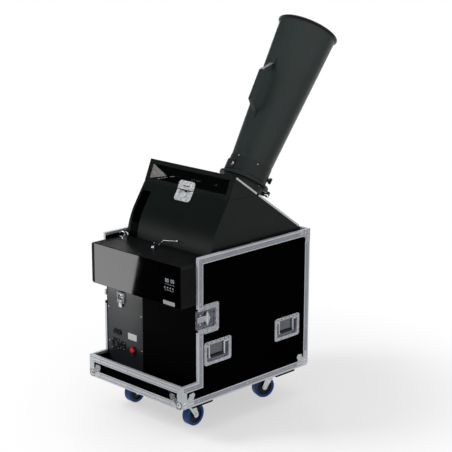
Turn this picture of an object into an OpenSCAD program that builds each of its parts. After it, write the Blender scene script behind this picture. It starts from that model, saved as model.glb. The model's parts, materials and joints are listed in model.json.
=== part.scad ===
// Confetti blower in its wheeled flight case, in millimetres.
// Heights are written from the underside of the case; place() then stands the whole on its wheels.

/* [Case] */
// Outside width of the case
case_w = 600; // [560:5:700]
// Outside depth of the case
case_d = 800; // [790:5:900]
// Height of the case body
case_h = 648; // [640:1:700]
// Height of the low tray wall in front
tray_h = 101; // [90:1:140]
// Depth of the tray, from the front of the case to the riser
riser_set = 96; // [90:1:130]
// Thickness of the laminated plywood
wall_t = 9.5; // [7:0.5:12]
// Width of the aluminium edging
edge_leg = 30; // [24:1:32]
// Thickness of the aluminium edging
edge_t = 2; // [1.5:0.1:2.5]
// Height of the inner leg of the rim edging
rim_leg = 12; // [8:1:16]
// Gap left where two lengths of edging meet
edge_gap = 0.5; // [0.3:0.1:1]

/* [Corner balls] */
// Radius of a corner ball
ball_r = 24; // [22:1:26]
// How far the ball stands out of each face
ball_proud = 4; // [2:0.5:6]
// Side of the block that seats in the cut corner
ball_seat = 34; // [30:1:38]
// Distance from the corner to the middle of a leaf's end, along the case
leaf_reach = 60; // [55:1:70]
// Distance from the corner to the middle of a leaf's end, upwards
leaf_rise = 50; // [45:1:56]
// Width of a leaf
leaf_w = 22; // [16:1:26]
// Thickness of a leaf
leaf_t = 1.5; // [1:0.1:2]

/* [Castors] */
// Diameter of a wheel
wheel_d = 100; // [80:5:110]
// Width of a wheel
wheel_w = 32; // [28:1:36]
// Height of a castor, from the floor to the top of its plate
castor_h = 128; // [120:1:140]
// Trail from the swivel axis to the axle
castor_trail = 36; // [30:1:42]
// Distance of a swivel axis from the middle of the case, sideways
castor_x = 190; // [170:5:215]
// Distance of a swivel axis from the middle of the case, lengthwise
castor_y = 264; // [240:4:300]
// Thickness of the batten between case and castor
batten_t = 15; // [12:1:18]
// Length of a castor plate along the case width
castor_plate_l = 105; // [100:1:115]
// Width of a castor plate
castor_plate_w = 85; // [80:1:95]
// Radius of the swivel bearing cup
bearing_r = 28; // [26:1:32]
// Radius of the kingpin
kingpin_r = 6; // [5:0.5:7]
// Radius of the axle
axle_r = 5; // [4:0.5:6]
// Thickness of a fork cheek
cheek_t = 3; // [2.5:0.5:4]
// Turn at which the rear right castor stands
castor_turn = -18; // [-30:1:30]

/* [Case handles and latches] */
// Length of a handle dish
dish_w = 163; // [155:1:170]
// Height of a handle dish
dish_h = 105; // [100:1:110]
// Length of the pan in a handle dish
pan_w = 134; // [130:1:138]
// Height of the pan in a handle dish
pan_h = 80; // [76:1:84]
// Depth of a dish behind the outer face of the wall
pan_depth = 14; // [13:0.5:16]
// Thickness of pressed dish metal
press_t = 1.5; // [1.2:0.1:2]
// Height of the handle centres
handle_z = 215; // [180:5:240]
// Distance of the front handle from the riser
handle_front = 119; // [110:1:130]
// Distance of the rear handle from the back of the case
handle_back = 144; // [130:1:160]
// Radius of the handle rod
handle_rod_r = 3.5; // [3:0.25:4]
// Radius of the handle grip
handle_grip_r = 5.5; // [5:0.25:5.5]
// Drop from the handle hinge to the grip
handle_drop = 53; // [48:1:56]
// Length of a side latch dish
latch_w = 124; // [116:1:130]
// Height of a side latch dish
latch_h = 130; // [120:1:136]
// Gap in the riser edging for the latch
latch_gap_h = 104; // [96:1:110]
// Height of the latch centres
latch_z = 373; // [340:1:400]
// Half width of a latch wing
wing_w = 17; // [14:1:20]
// Half height of a latch wing
wing_h = 34; // [28:1:36]
// Radius of a latch wing's stem
wing_stem_r = 4; // [3:0.5:5]

/* [Machine housing] */
// Gap between the machine's flanges and the case walls
flange_gap = 1; // [0.5:0.5:2]
// Gap between the machine's housing and the case walls
cabinet_gap = 7.5; // [7:0.5:10]
// Thickness of sheet steel
sheet_t = 2; // [1.5:0.1:2.5]
// Height of the black ledge round the hood
ledge_z = 622; // [615:1:630]
// Depth of the control box in front of the riser
box_depth = 80.5; // [70:0.5:88]
// Height of the control box
box_h = 184; // [170:1:200]
// Corner radius of the control box
box_r = 12; // [8:1:16]
// Thickness of the acrylic front
acrylic_t = 2.5; // [2:0.5:4]
// Margin of the acrylic front inside the box front
acrylic_margin = 2; // [1:0.5:4]
// Distance of the acrylic front's ends from the box ends
acrylic_end = 10; // [10:1:16]
// Right edge of the connector plate
connector_x = -50; // [-80:5:-30]

/* [Controls] */
// Middle of the display and the buttons, sideways
keys_x = 212; // [190:1:230]
// Width of the display window
display_w = 66; // [60:1:72]
// Height of the display window
display_h = 24; // [20:1:28]
// Height of the display above the bottom of the box
display_up = 113; // [108:1:120]
// Height of the buttons above the bottom of the box
keys_up = 82; // [76:1:88]
// Distance from button to button
key_pitch = 16.5; // [14:0.5:20]
// Radius of a button
key_r = 3.5; // [3:0.25:4.5]
// How far a button stands out
key_proud = 2; // [1.5:0.25:3]
// Middle of the stop button, sideways
stop_x = -112; // [-130:1:-100]
// Height of the stop button
stop_z = 142; // [135:1:160]
// Radius of the stop button's head
stop_r = 13; // [12:0.5:16]
// Side of the large mains socket
mains_a = 50; // [44:1:52]
// Side of the small mains socket
mains_b = 38; // [32:1:42]
// Height of the mains sockets
mains_z = 144; // [138:1:160]
// Middle of the large mains socket, sideways
mains_x = -233; // [-240:1:-228]
// Side of a signal socket
signal_s = 25; // [22:1:26]
// Height of the signal sockets
signal_z = 202; // [196:1:215]
// Distance between the signal sockets
signal_pitch = 28; // [27:1:32]
// Middle of the draw latch, sideways
draw_x = -188; // [-200:1:-170]
// Height of the draw latch's hinge
draw_z = 360; // [350:1:365]

/* [Hood] */
// Width of the hood
hood_w = 532; // [500:2:540]
// Front foot of the hood, from the middle of the case
hood_foot_y = -196; // [-205:1:-190]
// Start angle of the curved front
curve_angle = 84; // [80:1:88]
// Radius of the curved front
curve_r = 310; // [290:5:340]
// Seam between hood and lid in front, from the middle of the case
seam_y = -86; // [-92:1:-80]
// Height of the seam above the ledge
seam_up = 232; // [225:1:240]
// Top edge of the lid, from the middle of the case
top_y = -46; // [-52:1:-40]
// Height of the top edge above the ledge
top_up = 328; // [322:1:334]
// Slope of the deck
deck_angle = 34.8; // [33:0.2:36]
// Distance of the lid hinge from the top edge, along the deck
hinge_run = 183; // [175:1:186]
// Length of the deck
deck_run = 479; // [470:1:490]
// Back of the hood, from the middle of the case
hood_back_y = 369; // [360:1:372]
// Gap in the seam of the lid
seam_gap = 1.2; // [0.8:0.1:2]
// Radius of a hinge knuckle
knuckle_r = 5; // [4:0.5:6]
// Radius of the hinge pin
hinge_pin_r = 2.5; // [2:0.25:3]
// Length of the hinge
hinge_l = 480; // [440:5:500]
// Width of the mesh in the lid
grille_w = 478; // [440:2:490]
// Height of the mesh in the lid
grille_h = 66; // [56:1:72]
// Distance from the top edge of the lid to the mesh
grille_down = 20; // [16:1:24]
// Width of the level window
window_w = 50; // [40:1:60]
// Distance of the level window from the side of the hood
window_side = 16; // [12:1:24]
// Height of the level window above the ledge
window_up = 195; // [180:1:198]
// Width of the hood latch
hood_latch_w = 98; // [90:1:104]
// Reach of the hood latch below the seam
hood_latch_down = 52; // [50:1:58]
// Reach of its keeper above the seam
keeper_up = 40; // [34:1:44]

/* [Barrel] */
// Tilt of the barrel from upright
barrel_tilt = 33.1; // [32:0.1:34.5]
// Foot of the barrel's cone, from the middle of the case
barrel_y = 329.2; // [325:0.2:335]
// Height of the foot of the cone
barrel_z = 914.7; // [910:0.1:920]
// Length of the cone
barrel_l = 684.9; // [600:0.1:800]
// Radius of the cone at its foot
barrel_r1 = 97.3; // [96:0.1:99]
// Radius of the cone at its mouth
barrel_r2 = 138.3; // [120:0.1:150]
// Wall of the barrel
barrel_wall = 2.5; // [2:0.5:4]
// Radius of the rolled rim
rim_r = 6; // [4:0.5:8]
// Length of the collar
collar_l = 84.7; // [80:0.1:90]
// Radius of the collar
collar_r = 99; // [98:0.5:102]
// Radius of the flange ring under the collar
ring_r = 118; // [112:1:124]
// Thickness of the flange ring
ring_t = 10; // [8:1:12]
// Radius of the fixed tube
tube_r = 100; // [99:0.5:102]
// Wall of the fixed tube
tube_wall = 4; // [3.5:0.5:5]
// Running gap between collar and fixed parts
swivel_gap = 0.3; // [0.3:0.05:0.6]
// Length of the spigot below the collar
spigot_l = 66; // [60:1:72]
// Side of the plate under the fixed tube
foot_plate = 236; // [230:2:240]
// Distance from the cone's foot to the barrel handle's lower bend
grip_low = 243; // [230:1:260]
// Distance from the cone's foot to the barrel handle's upper bend
grip_high = 384; // [370:1:420]
// Distance from the cone's foot to the lower foot of the handle
grip_foot = 206; // [190:1:215]
// Distance from the cone's foot to the upper foot of the handle
grip_head = 447; // [440:1:460]
// Height of the grip over the cone
grip_out = 57; // [45:1:65]
// Width of the handle's flat bar
grip_w = 22; // [18:1:28]
// Thickness of the handle's flat bar
grip_t = 4; // [3:0.5:5]

/* [Fan and feed] */
// Radius of the fan housing
fan_r = 185; // [175:1:190]
// Width of the fan housing
fan_w = 190; // [184:2:220]
// Radius of the fan wheel
wheel_r = 150; // [130:1:155]
// Distance of the fan axis below the cone's foot, along the barrel axis
fan_down = 720; // [705:1:730]
// Radius of the blast duct
duct_r = 90; // [85:1:92]
// Radius of the fan shaft
shaft_r = 9; // [7:0.5:11]
// Distance of the feed roller from the middle of the case
roller_y = -78; // [-84:1:-72]
// Distance of the feed roller below the ledge
roller_down = 34; // [30:1:38]
// Radius of the feed roller's core
roller_r = 12; // [10:1:14]
// Radius over the feed roller's blades
blade_r = 28; // [24:1:30]
// Length of the feed roller
roller_l = 440; // [400:5:446]
// Radius of the feed roller's journals
journal_r = 6; // [5:0.5:7]

/* [Hidden] */
$fn = 64;

half_w = case_w / 2;
half_d = case_d / 2;
riser_y = -half_d + riser_set;
face_x = half_w - edge_t;
inner_x = face_x - wall_t;
rim_lip = wall_t + 2 * edge_t;
ball_inset = ball_r - ball_proud;
castor_drop = castor_h + batten_t;
pin_play = 0.05;
eps = 0.01;

// The barrel's rim reaches furthest back and the corner balls furthest forward
rim_ring_r = barrel_r2 + 1.3;
rim_along = barrel_l - 3;
back_reach = barrel_y + rim_along * sin(barrel_tilt) + rim_ring_r * cos(barrel_tilt) + rim_r;
middle_y = (back_reach - half_d - ball_proud) / 2;

module place() {
    translate([0, -middle_y, castor_drop]) children();
}

// Local x along the barrel's right, local z up along the barrel axis, origin at the cone's foot
module on_barrel() {
    translate([0, barrel_y, barrel_z]) rotate([-barrel_tilt, 0, 0]) children();
}

// Draws a flat profile of lengthwise place and height, as wide as w
module across(w) {
    rotate([90, 0, 90]) linear_extrude(w, center = true) children();
}

// Local x to the back, local y up, local z out of the right wall
module on_right() {
    translate([face_x, 0, 0]) rotate([90, 0, 90]) children();
}

module on_side(right) {
    if (right) on_right() children();
    else mirror([1, 0, 0]) on_right() children();
}

module each_corner() {
    for (turn = [0, 1]) rotate(turn * 180) for (side = [0, 1]) mirror([side, 0, 0])
        translate([-half_w, -half_d, 0]) children();
}

module round_rect(w, h, r) {
    square([w - 2 * r, h], center = true);
    square([w, h - 2 * r], center = true);
    for (x = [-1, 1], y = [-1, 1]) translate([x * (w / 2 - r), y * (h / 2 - r)]) circle(r);
}

function inward(a, b) = [a[1] - b[1], b[0] - a[0]] / norm(b - a);
function inset_corner(a, b, c, d) =
    b + d * (inward(a, b) + inward(b, c)) / (1 + inward(a, b) * inward(b, c));
function inset(pts, d) = [for (i = [0 : len(pts) - 1])
    inset_corner(pts[(i + len(pts) - 1) % len(pts)], pts[i], pts[(i + 1) % len(pts)], d)];

// Case of plywood, edging and corner balls

module corner_cuts() {
    each_corner() translate([-1, -1, -1]) cube(ball_seat + 1);
}

module case_floor() {
    color("#15161a") difference() {
        union() {
            translate([-inner_x, -half_d + edge_t + wall_t, edge_t])
                cube([2 * inner_x, case_d - 2 * (edge_t + wall_t), wall_t]);
            for (s = [-1, 1]) batten(s * castor_y);
        }
        corner_cuts();
    }
}

batten_w = 120;
batten_end = 12;

module batten(y) {
    l = case_w - 2 * batten_end;
    translate([-l / 2, y - batten_w / 2, -batten_t]) cube([l, batten_w, batten_t]);
    translate([-(half_w - edge_leg - 1), y - batten_w / 2, -1])
        cube([case_w - 2 * edge_leg - 2, batten_w, edge_t + 1]);
}

module side_profile() {
    polygon([[-half_d + edge_t, edge_t], [half_d - edge_t, edge_t], [half_d - edge_t, case_h - edge_t],
        [riser_y + edge_t, case_h - edge_t], [riser_y + edge_t, tray_h - edge_t],
        [-half_d + edge_t, tray_h - edge_t]]);
}

cut_play = 1.5;

module case_walls() {
    color("#0b0c0f") difference() {
        union() {
            for (right = [true, false]) on_side(right) difference() {
                translate([0, 0, -wall_t]) linear_extrude(wall_t) side_profile();
                for (y = [handle_y_front, handle_y_back]) translate([y, handle_z, -wall_t - 1])
                    linear_extrude(wall_t + 2) square([pan_w + 2 * cut_play, pan_h + 2 * cut_play], center = true);
                translate([riser_y - 1, latch_z - latch_pan_h / 2 - cut_play, -wall_t - 1])
                    cube([latch_pan_l + cut_play + 1, latch_pan_h + 2 * cut_play, wall_t + 2]);
            }
            translate([-inner_x, -half_d + edge_t, edge_t])
                cube([2 * inner_x, wall_t, tray_h - 2 * edge_t]);
            translate([-inner_x, half_d - edge_t - wall_t, edge_t])
                cube([2 * inner_x, wall_t, case_h - 2 * edge_t]);
        }
        corner_cuts();
    }
}

angle_profile = [[0, 0], [edge_leg, 0], [edge_leg, edge_t], [edge_t, edge_t], [edge_t, edge_leg], [0, edge_leg]];
rim_profile = [[0, -edge_leg], [edge_t, -edge_leg], [edge_t, -edge_t], [rim_lip - edge_t, -edge_t],
    [rim_lip - edge_t, -rim_leg], [rim_lip, -rim_leg], [rim_lip, 0], [0, 0]];

// A length of edging along x, its ends mitred where start or stop is 1
module rail(length, profile, start = 1, stop = 1) {
    deep = edge_leg + 1;
    intersection() {
        rotate([90, 0, 90]) linear_extrude(length) polygon(profile);
        translate([0, 0, -edge_leg - 1]) linear_extrude(2 * edge_leg + 2)
            polygon([[edge_gap / 2 - start * eps, -eps], [length - edge_gap / 2, -eps],
                [length - edge_gap / 2 - stop * deep, deep], [edge_gap / 2 + start * deep, deep]]);
    }
}

module edging_side() {
    translate([half_w, -half_d, 0]) rotate(90) rail(case_d, angle_profile);
    translate([half_w, -half_d, tray_h]) rotate(90) rail(riser_set - edge_gap, rim_profile, 1, 0);
    translate([half_w, riser_y + edge_t, case_h]) rotate(90)
        rail(case_d - riser_set - edge_t, rim_profile, 0, 1);
    riser_rail();
}

module riser_rail() {
    difference() {
        union() {
            translate([half_w - edge_t, riser_y, tray_h - edge_leg])
                cube([edge_t, edge_leg, case_h - tray_h - edge_gap]);
            translate([inner_x, riser_y, tray_h])
                cube([wall_t + edge_t + eps, edge_t, case_h - tray_h]);
        }
        translate([inner_x - 1, riser_y - 1, latch_z - latch_gap_h / 2])
            cube([wall_t + edge_t + 2, edge_leg + 2, latch_gap_h]);
    }
}

module corner_post(low, high) {
    translate([0, 0, low]) linear_extrude(high - low) polygon(angle_profile);
}

module case_edging() {
    color("#a3a6ac") difference() {
        union() {
            edging_side();
            mirror([1, 0, 0]) edging_side();
            translate([-half_w, -half_d, 0]) rail(case_w, angle_profile);
            translate([half_w, half_d, 0]) rotate(180) rail(case_w, angle_profile);
            translate([-half_w, -half_d, tray_h]) rail(case_w, rim_profile);
            translate([half_w, half_d, case_h]) rotate(180) rail(case_w, rim_profile);
            for (side = [0, 1]) mirror([side, 0, 0]) {
                translate([-half_w, -half_d, 0])
                    corner_post(edge_leg + edge_gap, tray_h - edge_leg - edge_gap);
                translate([-half_w, half_d, 0]) rotate(-90)
                    corner_post(edge_leg + edge_gap, case_h - edge_leg - edge_gap);
            }
        }
        corner_cuts();
    }
}

leaf_lobe_r = 12;
leaf_side_r = 8;

module leaf(along, up) {
    angle = atan2(up - ball_inset, along - ball_inset);
    run = norm([along - ball_inset, up - ball_inset]);
    translate([ball_inset, ball_inset]) rotate(angle) {
        translate([0, -leaf_w / 2]) square([run, leaf_w]);
        translate([run + 4, 0]) circle(leaf_lobe_r);
        for (s = [-1, 1]) translate([run - 5, s * (leaf_w / 2 - 1)]) circle(leaf_side_r);
    }
}

module ball_corner() {
    inside = edge_t + wall_t + edge_gap;
    difference() {
        union() {
            intersection() {
                cube(ball_seat - edge_gap);
                translate([ball_inset, ball_inset, ball_inset]) sphere(ball_r + 6);
            }
            intersection() {
                translate([ball_inset, ball_inset, ball_inset]) sphere(ball_r);
                translate([-ball_r, -ball_r, -ball_r]) cube(ball_r + ball_seat - edge_gap);
            }
        }
        translate([inside, inside, inside]) cube(2 * ball_seat);
    }
    translate([0, 0, -leaf_t]) linear_extrude(leaf_t + eps) leaf(leaf_rise, leaf_reach);
    translate([eps, 0, 0]) rotate([90, 0, 90]) mirror([0, 0, 1]) linear_extrude(leaf_t + eps)
        leaf(leaf_reach, leaf_rise);
    rotate([90, 0, 0]) translate([0, 0, -eps]) linear_extrude(leaf_t + eps) leaf(leaf_reach, leaf_rise);
}

module ball_corners() {
    color("silver") each_corner() ball_corner();
}

// Castors

plate_t = 3;
cup_h = 6;
crown_t = 6;
bearing_gap = 0.3;
castor_top = -batten_t;
crown_top = castor_top - plate_t - cup_h - bearing_gap;
axle_z = -castor_drop + wheel_d / 2;
wheel_side_gap = 2;
bolt_r = 4;
bolt_head_r = 6.5;
bolt_head_h = 5;
nut_r = 10;
nut_h = 3.5;

module at_castors() {
    for (x = [-1, 1], y = [-1, 1]) translate([x * castor_x, y * castor_y, 0]) children();
}

module castor_plates() {
    color("silver") at_castors() {
        translate([0, 0, castor_top - plate_t]) linear_extrude(plate_t) difference() {
            round_rect(castor_plate_l, castor_plate_w, 6);
            castor_bolt_places() circle(bolt_r);
        }
        translate([0, 0, castor_top - plate_t - cup_h]) cylinder(cup_h, bearing_r - 4, bearing_r);
        translate([0, 0, crown_top - crown_t - bearing_gap - nut_h])
            cylinder(castor_top - plate_t - crown_top + crown_t + nut_h, r = kingpin_r);
        translate([0, 0, crown_top - crown_t - bearing_gap - nut_h]) cylinder(nut_h, r = nut_r);
    }
}

module castor_bolt_places() {
    for (x = [-1, 1], y = [-1, 1])
        translate([x * (castor_plate_l / 2 - 12), y * (castor_plate_w / 2 - 12)]) children();
}

// The front castors trail to the back and the rear ones to the front, each turned by heading
module castor_frame(side, end, heading) {
    translate([side * castor_x, end * castor_y, 0]) rotate(heading + (end > 0 ? 180 : 0)) children();
}

module castor_fork(side, end, heading) {
    reach = wheel_w / 2 + wheel_side_gap;
    color("lightgray") castor_frame(side, end, heading) difference() {
        union() {
            translate([0, 0, crown_top - crown_t]) cylinder(crown_t, r = bearing_r - 1);
            translate([-reach - cheek_t, -bearing_r + 6, crown_top - crown_t])
                cube([2 * (reach + cheek_t), 2 * bearing_r - 8, cheek_t]);
            for (s = [0, 1]) mirror([s, 0, 0]) translate([reach, 0, 0]) rotate([90, 0, 90])
                linear_extrude(cheek_t) cheek_profile();
            translate([-reach - cheek_t - 3, castor_trail, axle_z]) rotate([0, 90, 0])
                cylinder(2 * (reach + cheek_t + 3), r = axle_r);
            for (s = [-1, 1]) translate([s * (reach + cheek_t + 2), castor_trail, axle_z]) rotate([0, 90, 0])
                cylinder(4, r = bolt_head_r + 1, center = true, $fn = 6);
        }
        translate([0, 0, crown_top - crown_t - 1]) cylinder(crown_t + 2, r = kingpin_r + pin_play);
    }
}

cheek_end_r = 13;

module cheek_profile() {
    polygon([[-bearing_r + 6, crown_top - crown_t], [bearing_r - 2, crown_top - crown_t],
        [castor_trail + cheek_end_r, axle_z], [castor_trail - cheek_end_r, axle_z]]);
    translate([castor_trail, axle_z]) circle(cheek_end_r);
}

tread_t = 13;
hub_dish = 5;

module castor_wheel(side, end, heading) {
    r = wheel_d / 2;
    w = wheel_w / 2;
    color("#1d3f73") castor_frame(side, end, heading) translate([0, castor_trail, axle_z])
        rotate([0, 90, 0]) difference() {
            union() {
                intersection() {
                    cylinder(wheel_w, r = r, center = true);
                    sphere(r + 2.2, $fn = 96);
                }
                cylinder(wheel_w + 2, r = 12, center = true);
            }
            for (s = [-1, 1]) translate([0, 0, s * w]) difference() {
                cylinder(2 * hub_dish, r = r - tread_t, center = true);
                cylinder(2 * hub_dish + 1, r = 14, center = true);
            }
            cylinder(2 * wheel_w, r = axle_r + pin_play, center = true);
        }
}

// Recessed handles and latches in the side walls

handle_y_front = riser_y + handle_front;
handle_y_back = half_d - handle_back;
handle_hinge = 31;
handle_sink = 6;
bow_w = 92;

module dish_holes() {
    for (i = [-2.5 : 2.5]) translate([i * (dish_w - 30) / 5, dish_h / 2 - 6]) circle(2.2);
    for (x = [-1, 1]) translate([x * (dish_w / 2 - 7), -dish_h / 2 + 8]) circle(2.2);
}

module handle_dish() {
    difference() {
        union() {
            linear_extrude(press_t) difference() {
                round_rect(dish_w, dish_h, 12);
                dish_holes();
            }
            translate([0, 0, -pan_depth]) linear_extrude(pan_depth) round_rect(pan_w, pan_h, 8);
        }
        translate([0, 0, press_t - pan_depth]) linear_extrude(pan_depth + 1)
            round_rect(pan_w - 2 * press_t, pan_h - 2 * press_t, 7);
        translate([0, handle_hinge, -handle_sink]) rotate([0, 90, 0])
            cylinder(pan_w + 10, r = handle_rod_r + pin_play, center = true);
    }
}

module case_handle(right, y) {
    color("#c9ccd2") on_side(right) translate([y, handle_z + handle_hinge, -handle_sink]) {
        for (s = [0, 1]) mirror([s, 0, 0]) {
            translate([bow_w / 2, 0, 0]) rotate([0, 90, 0])
                cylinder(pan_w / 2 + 1 - bow_w / 2, r = handle_rod_r);
            translate([bow_w / 2, 0, 0]) sphere(handle_rod_r);
            translate([bow_w / 2, 0, 0]) rotate([90, 0, 0]) cylinder(handle_drop, r = handle_rod_r);
            translate([bow_w / 2, -handle_drop, 0]) sphere(handle_rod_r);
        }
        translate([0, -handle_drop, 0]) rotate([0, 90, 0]) cylinder(bow_w, r = handle_rod_r, center = true);
        translate([0, -handle_drop, 0]) rotate([0, 90, 0])
            cylinder(bow_w - 14, r = handle_grip_r, center = true);
    }
}

latch_pan_l = 108;
latch_pan_h = 84;
latch_post_x = 60;
latch_post_r = 11;
wing_gap = 0.3;
wing_t = 3;
hook_t = 3;
hook_w = 26;
post_top = -5.5;

module wing_post() {
    difference() {
        union() {
            translate([0, 0, press_t - pan_depth - eps]) cylinder(post_top + pan_depth - press_t + eps, r = latch_post_r);
            translate([-latch_post_x - 2, -hook_w / 2, post_top - hook_t]) cube([latch_post_x + 2, hook_w, hook_t]);
            translate([-latch_post_x - 2, -hook_w / 2, post_top - hook_t]) cube([2.5, hook_w, 7]);
        }
        translate([0, 0, press_t - pan_depth + 1]) cylinder(pan_depth, r = wing_stem_r + pin_play);
    }
}

module latch_dish() {
    front_w = 30;
    body_from = 14;
    difference() {
        union() {
            linear_extrude(press_t) difference() {
                union() {
                    translate([0, -latch_gap_h / 2 + edge_gap]) square([front_w, latch_gap_h - 2 * edge_gap]);
                    translate([(edge_leg + 1 + latch_w) / 2, 0]) round_rect(latch_w - edge_leg - 1, latch_h, 12);
                    translate([edge_leg - 2, -latch_gap_h / 2 + edge_gap])
                        square([body_from, latch_gap_h - 2 * edge_gap]);
                }
                for (y = [-1, 1]) {
                    translate([latch_w - 9, y * (latch_h / 2 - 12)]) circle(2.2);
                    translate([latch_w / 2, y * (latch_h / 2 - 10)]) circle(2.2);
                    translate([8, y * (latch_gap_h / 2 - 6)]) circle(2.2);
                }
            }
            translate([0, 0, -pan_depth]) linear_extrude(pan_depth) latch_pan(0);
        }
        translate([0, 0, press_t - pan_depth]) linear_extrude(pan_depth + 1) latch_pan(press_t);
    }
    translate([latch_post_x, 0, 0]) wing_post();
}

module latch_pan(d) {
    translate([latch_pan_l / 2, 0]) round_rect(latch_pan_l - 2 * d, latch_pan_h - 2 * d, 10 - d);
    translate([-2 * d / press_t, -latch_pan_h / 2 + d]) square([latch_pan_l / 2, latch_pan_h - 2 * d]);
}

module side_dishes() {
    color("silver") for (right = [true, false]) on_side(right) {
        for (y = [handle_y_front, handle_y_back]) translate([y, handle_z, 0]) handle_dish();
        translate([riser_y, latch_z, 0]) latch_dish();
    }
}

module wing(w, h) {
    translate([0, 0, post_top + wing_gap]) linear_extrude(wing_t) {
        polygon([[-w, 0], [0, -h], [w, 0], [0, h]]);
        circle(wing_stem_r + 7);
    }
    translate([-1.5, -h * 0.7, post_top + wing_gap]) cube([3, h * 1.4, wing_t + 1.5]);
    translate([0, 0, press_t - pan_depth + 1.5]) cylinder(pan_depth + post_top + wing_gap - press_t - 1, r = wing_stem_r);
}

module case_latch(right) {
    color("#d5d8dd") on_side(right) translate([riser_y + latch_post_x, latch_z, 0]) wing(wing_w, wing_h);
}

// Steel housing inside the case

flange_x = face_x - pan_depth - flange_gap;
ledge_x = inner_x - flange_gap;
cabinet_x = inner_x - cabinet_gap;
cabinet_back = half_d - edge_t - wall_t - 4;
cabinet_low = edge_t + wall_t + 0.5;
plate_y = riser_y + edge_t;
cabinet_front = plate_y + sheet_t;
box_bottom = ledge_z - box_h;
box_front = riser_y - box_depth;
ledge_split = hood_foot_y - 2;
mouth_x = hood_w / 2 - 4;

module cabinet() {
    color("#101113") difference() {
        union() {
            difference() {
                translate([-cabinet_x, cabinet_front, cabinet_low])
                    cube([2 * cabinet_x, cabinet_back - cabinet_front, ledge_z - cabinet_low]);
                translate([-cabinet_x + sheet_t, cabinet_front - 1, cabinet_low + sheet_t])
                    cube([2 * (cabinet_x - sheet_t), cabinet_back - cabinet_front + 1 - sheet_t,
                        ledge_z - cabinet_low - 2 * sheet_t]);
            }
            translate([connector_x + edge_gap, plate_y, cabinet_low])
                cube([flange_x - connector_x - edge_gap, sheet_t, box_bottom - cabinet_low - 1]);
            translate([connector_x - 12, cabinet_front, cabinet_low])
                cube([24, sheet_t, ledge_z - cabinet_low - sheet_t]);
        }
        translate([-mouth_x, hood_foot_y + 4, ledge_z - sheet_t - 1])
            cube([2 * mouth_x, hood_back_y - hood_foot_y - 8, sheet_t + 2]);
        translate([-cabinet_x - 1, cabinet_front - 1, ledge_z - sheet_t - eps])
            cube([2 * cabinet_x + 2, ledge_split - cabinet_front + 1, sheet_t + 1]);
    }
}

screw_r = 2;
screw_head_r = 4;
screw_head_h = 1.8;

module connector_screw_places() {
    for (x = [-flange_x + 8, connector_x - 8], z = [40, 150, 310])
        translate([x, z]) children();
}

module plate_at() {
    translate([0, plate_y + sheet_t, 0]) rotate([90, 0, 0]) linear_extrude(sheet_t) children();
}

module connector_plate() {
    color("#4c4e50") plate_at() difference() {
        translate([-flange_x, cabinet_low]) square([connector_x + flange_x, box_bottom - cabinet_low - 1]);
        translate([stop_x, stop_z]) circle(stop_shank_r + 1);
        translate([mains_x, mains_z]) square(mains_a - 8, center = true);
        translate([mains_b_x, mains_z]) square(mains_b - 8, center = true);
        for (s = [-1, 1]) translate([signal_x + s * signal_pitch / 2, signal_z]) circle(signal_s / 2 - 2);
        connector_screw_places() circle(screw_r);
    }
}

stop_shank_r = 8;
stop_body_r = 14;
mains_b_x = mains_x + mains_a / 2 + mains_b / 2 + 4;
signal_x = -219;
socket_proud = 3;
socket_deep = 28;
socket_well = 16;

// A flanged socket on the connector plate, with a round well in front
module socket(x, z, side, well_r) {
    translate([x, plate_y, z]) rotate([90, 0, 0]) difference() {
        union() {
            linear_extrude(socket_proud) round_rect(side, side, 3);
            translate([0, 0, -socket_deep]) linear_extrude(socket_deep + eps)
                circle(side / 2 - 4.5);
        }
        translate([0, 0, socket_proud - socket_well]) cylinder(socket_well + 1, r = well_r);
    }
}

module panel_sockets() {
    color("#1b1c1e") {
        socket(mains_x, mains_z, mains_a, 15);
        socket(mains_b_x, mains_z, mains_b, 11);
        for (s = [-1, 1]) socket(signal_x + s * signal_pitch / 2, signal_z, signal_s, 7);
        translate([stop_x, plate_y + sheet_t, stop_z]) rotate([-90, 0, 0]) difference() {
            cylinder(34, r = stop_body_r);
            translate([0, 0, -1]) cylinder(30, r = stop_shank_r + pin_play + 0.05);
        }
    }
}

stop_travel = 4;
stop_head_h = 8;

module stop_button() {
    color("#c3121c") translate([stop_x, plate_y, stop_z]) rotate([90, 0, 0]) {
        translate([0, 0, stop_travel + 1]) {
            cylinder(stop_head_h - 3, r = stop_r);
            translate([0, 0, stop_head_h - 3]) cylinder(3, r1 = stop_r, r2 = stop_r - 3);
        }
        translate([0, 0, -sheet_t - 20]) cylinder(stop_travel + 22 + sheet_t, r = stop_shank_r);
    }
}

draw_base_w = 30;
draw_lever_w = 20;
draw_lever_l = 34;
draw_pin_r = 2;
draw_out = 7;
bail_w = 40;
bail_r = 2;
bail_down = 12;
keeper_above = 34;

module at_draw_latch() {
    translate([draw_x, plate_y, draw_z]) rotate([90, 0, 0]) children();
}

// Lever of the draw latch, hung on the pin between the ears of its base
module draw_latch_lever() {
    color("silver") at_draw_latch() translate([0, 0, draw_out]) difference() {
        union() {
            translate([-draw_lever_w / 2, -draw_lever_l, -1]) cube([draw_lever_w, draw_lever_l, 3]);
            rotate([0, 90, 0]) cylinder(draw_lever_w, r = 4, center = true);
            translate([0, -bail_down, 0]) rotate([0, 90, 0]) cylinder(draw_lever_w, r = 4, center = true);
        }
        rotate([0, 90, 0]) cylinder(draw_lever_w + 2, r = draw_pin_r + pin_play, center = true);
        translate([0, -bail_down, 0]) rotate([0, 90, 0])
            cylinder(draw_lever_w + 2, r = bail_r + pin_play, center = true);
    }
}

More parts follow.
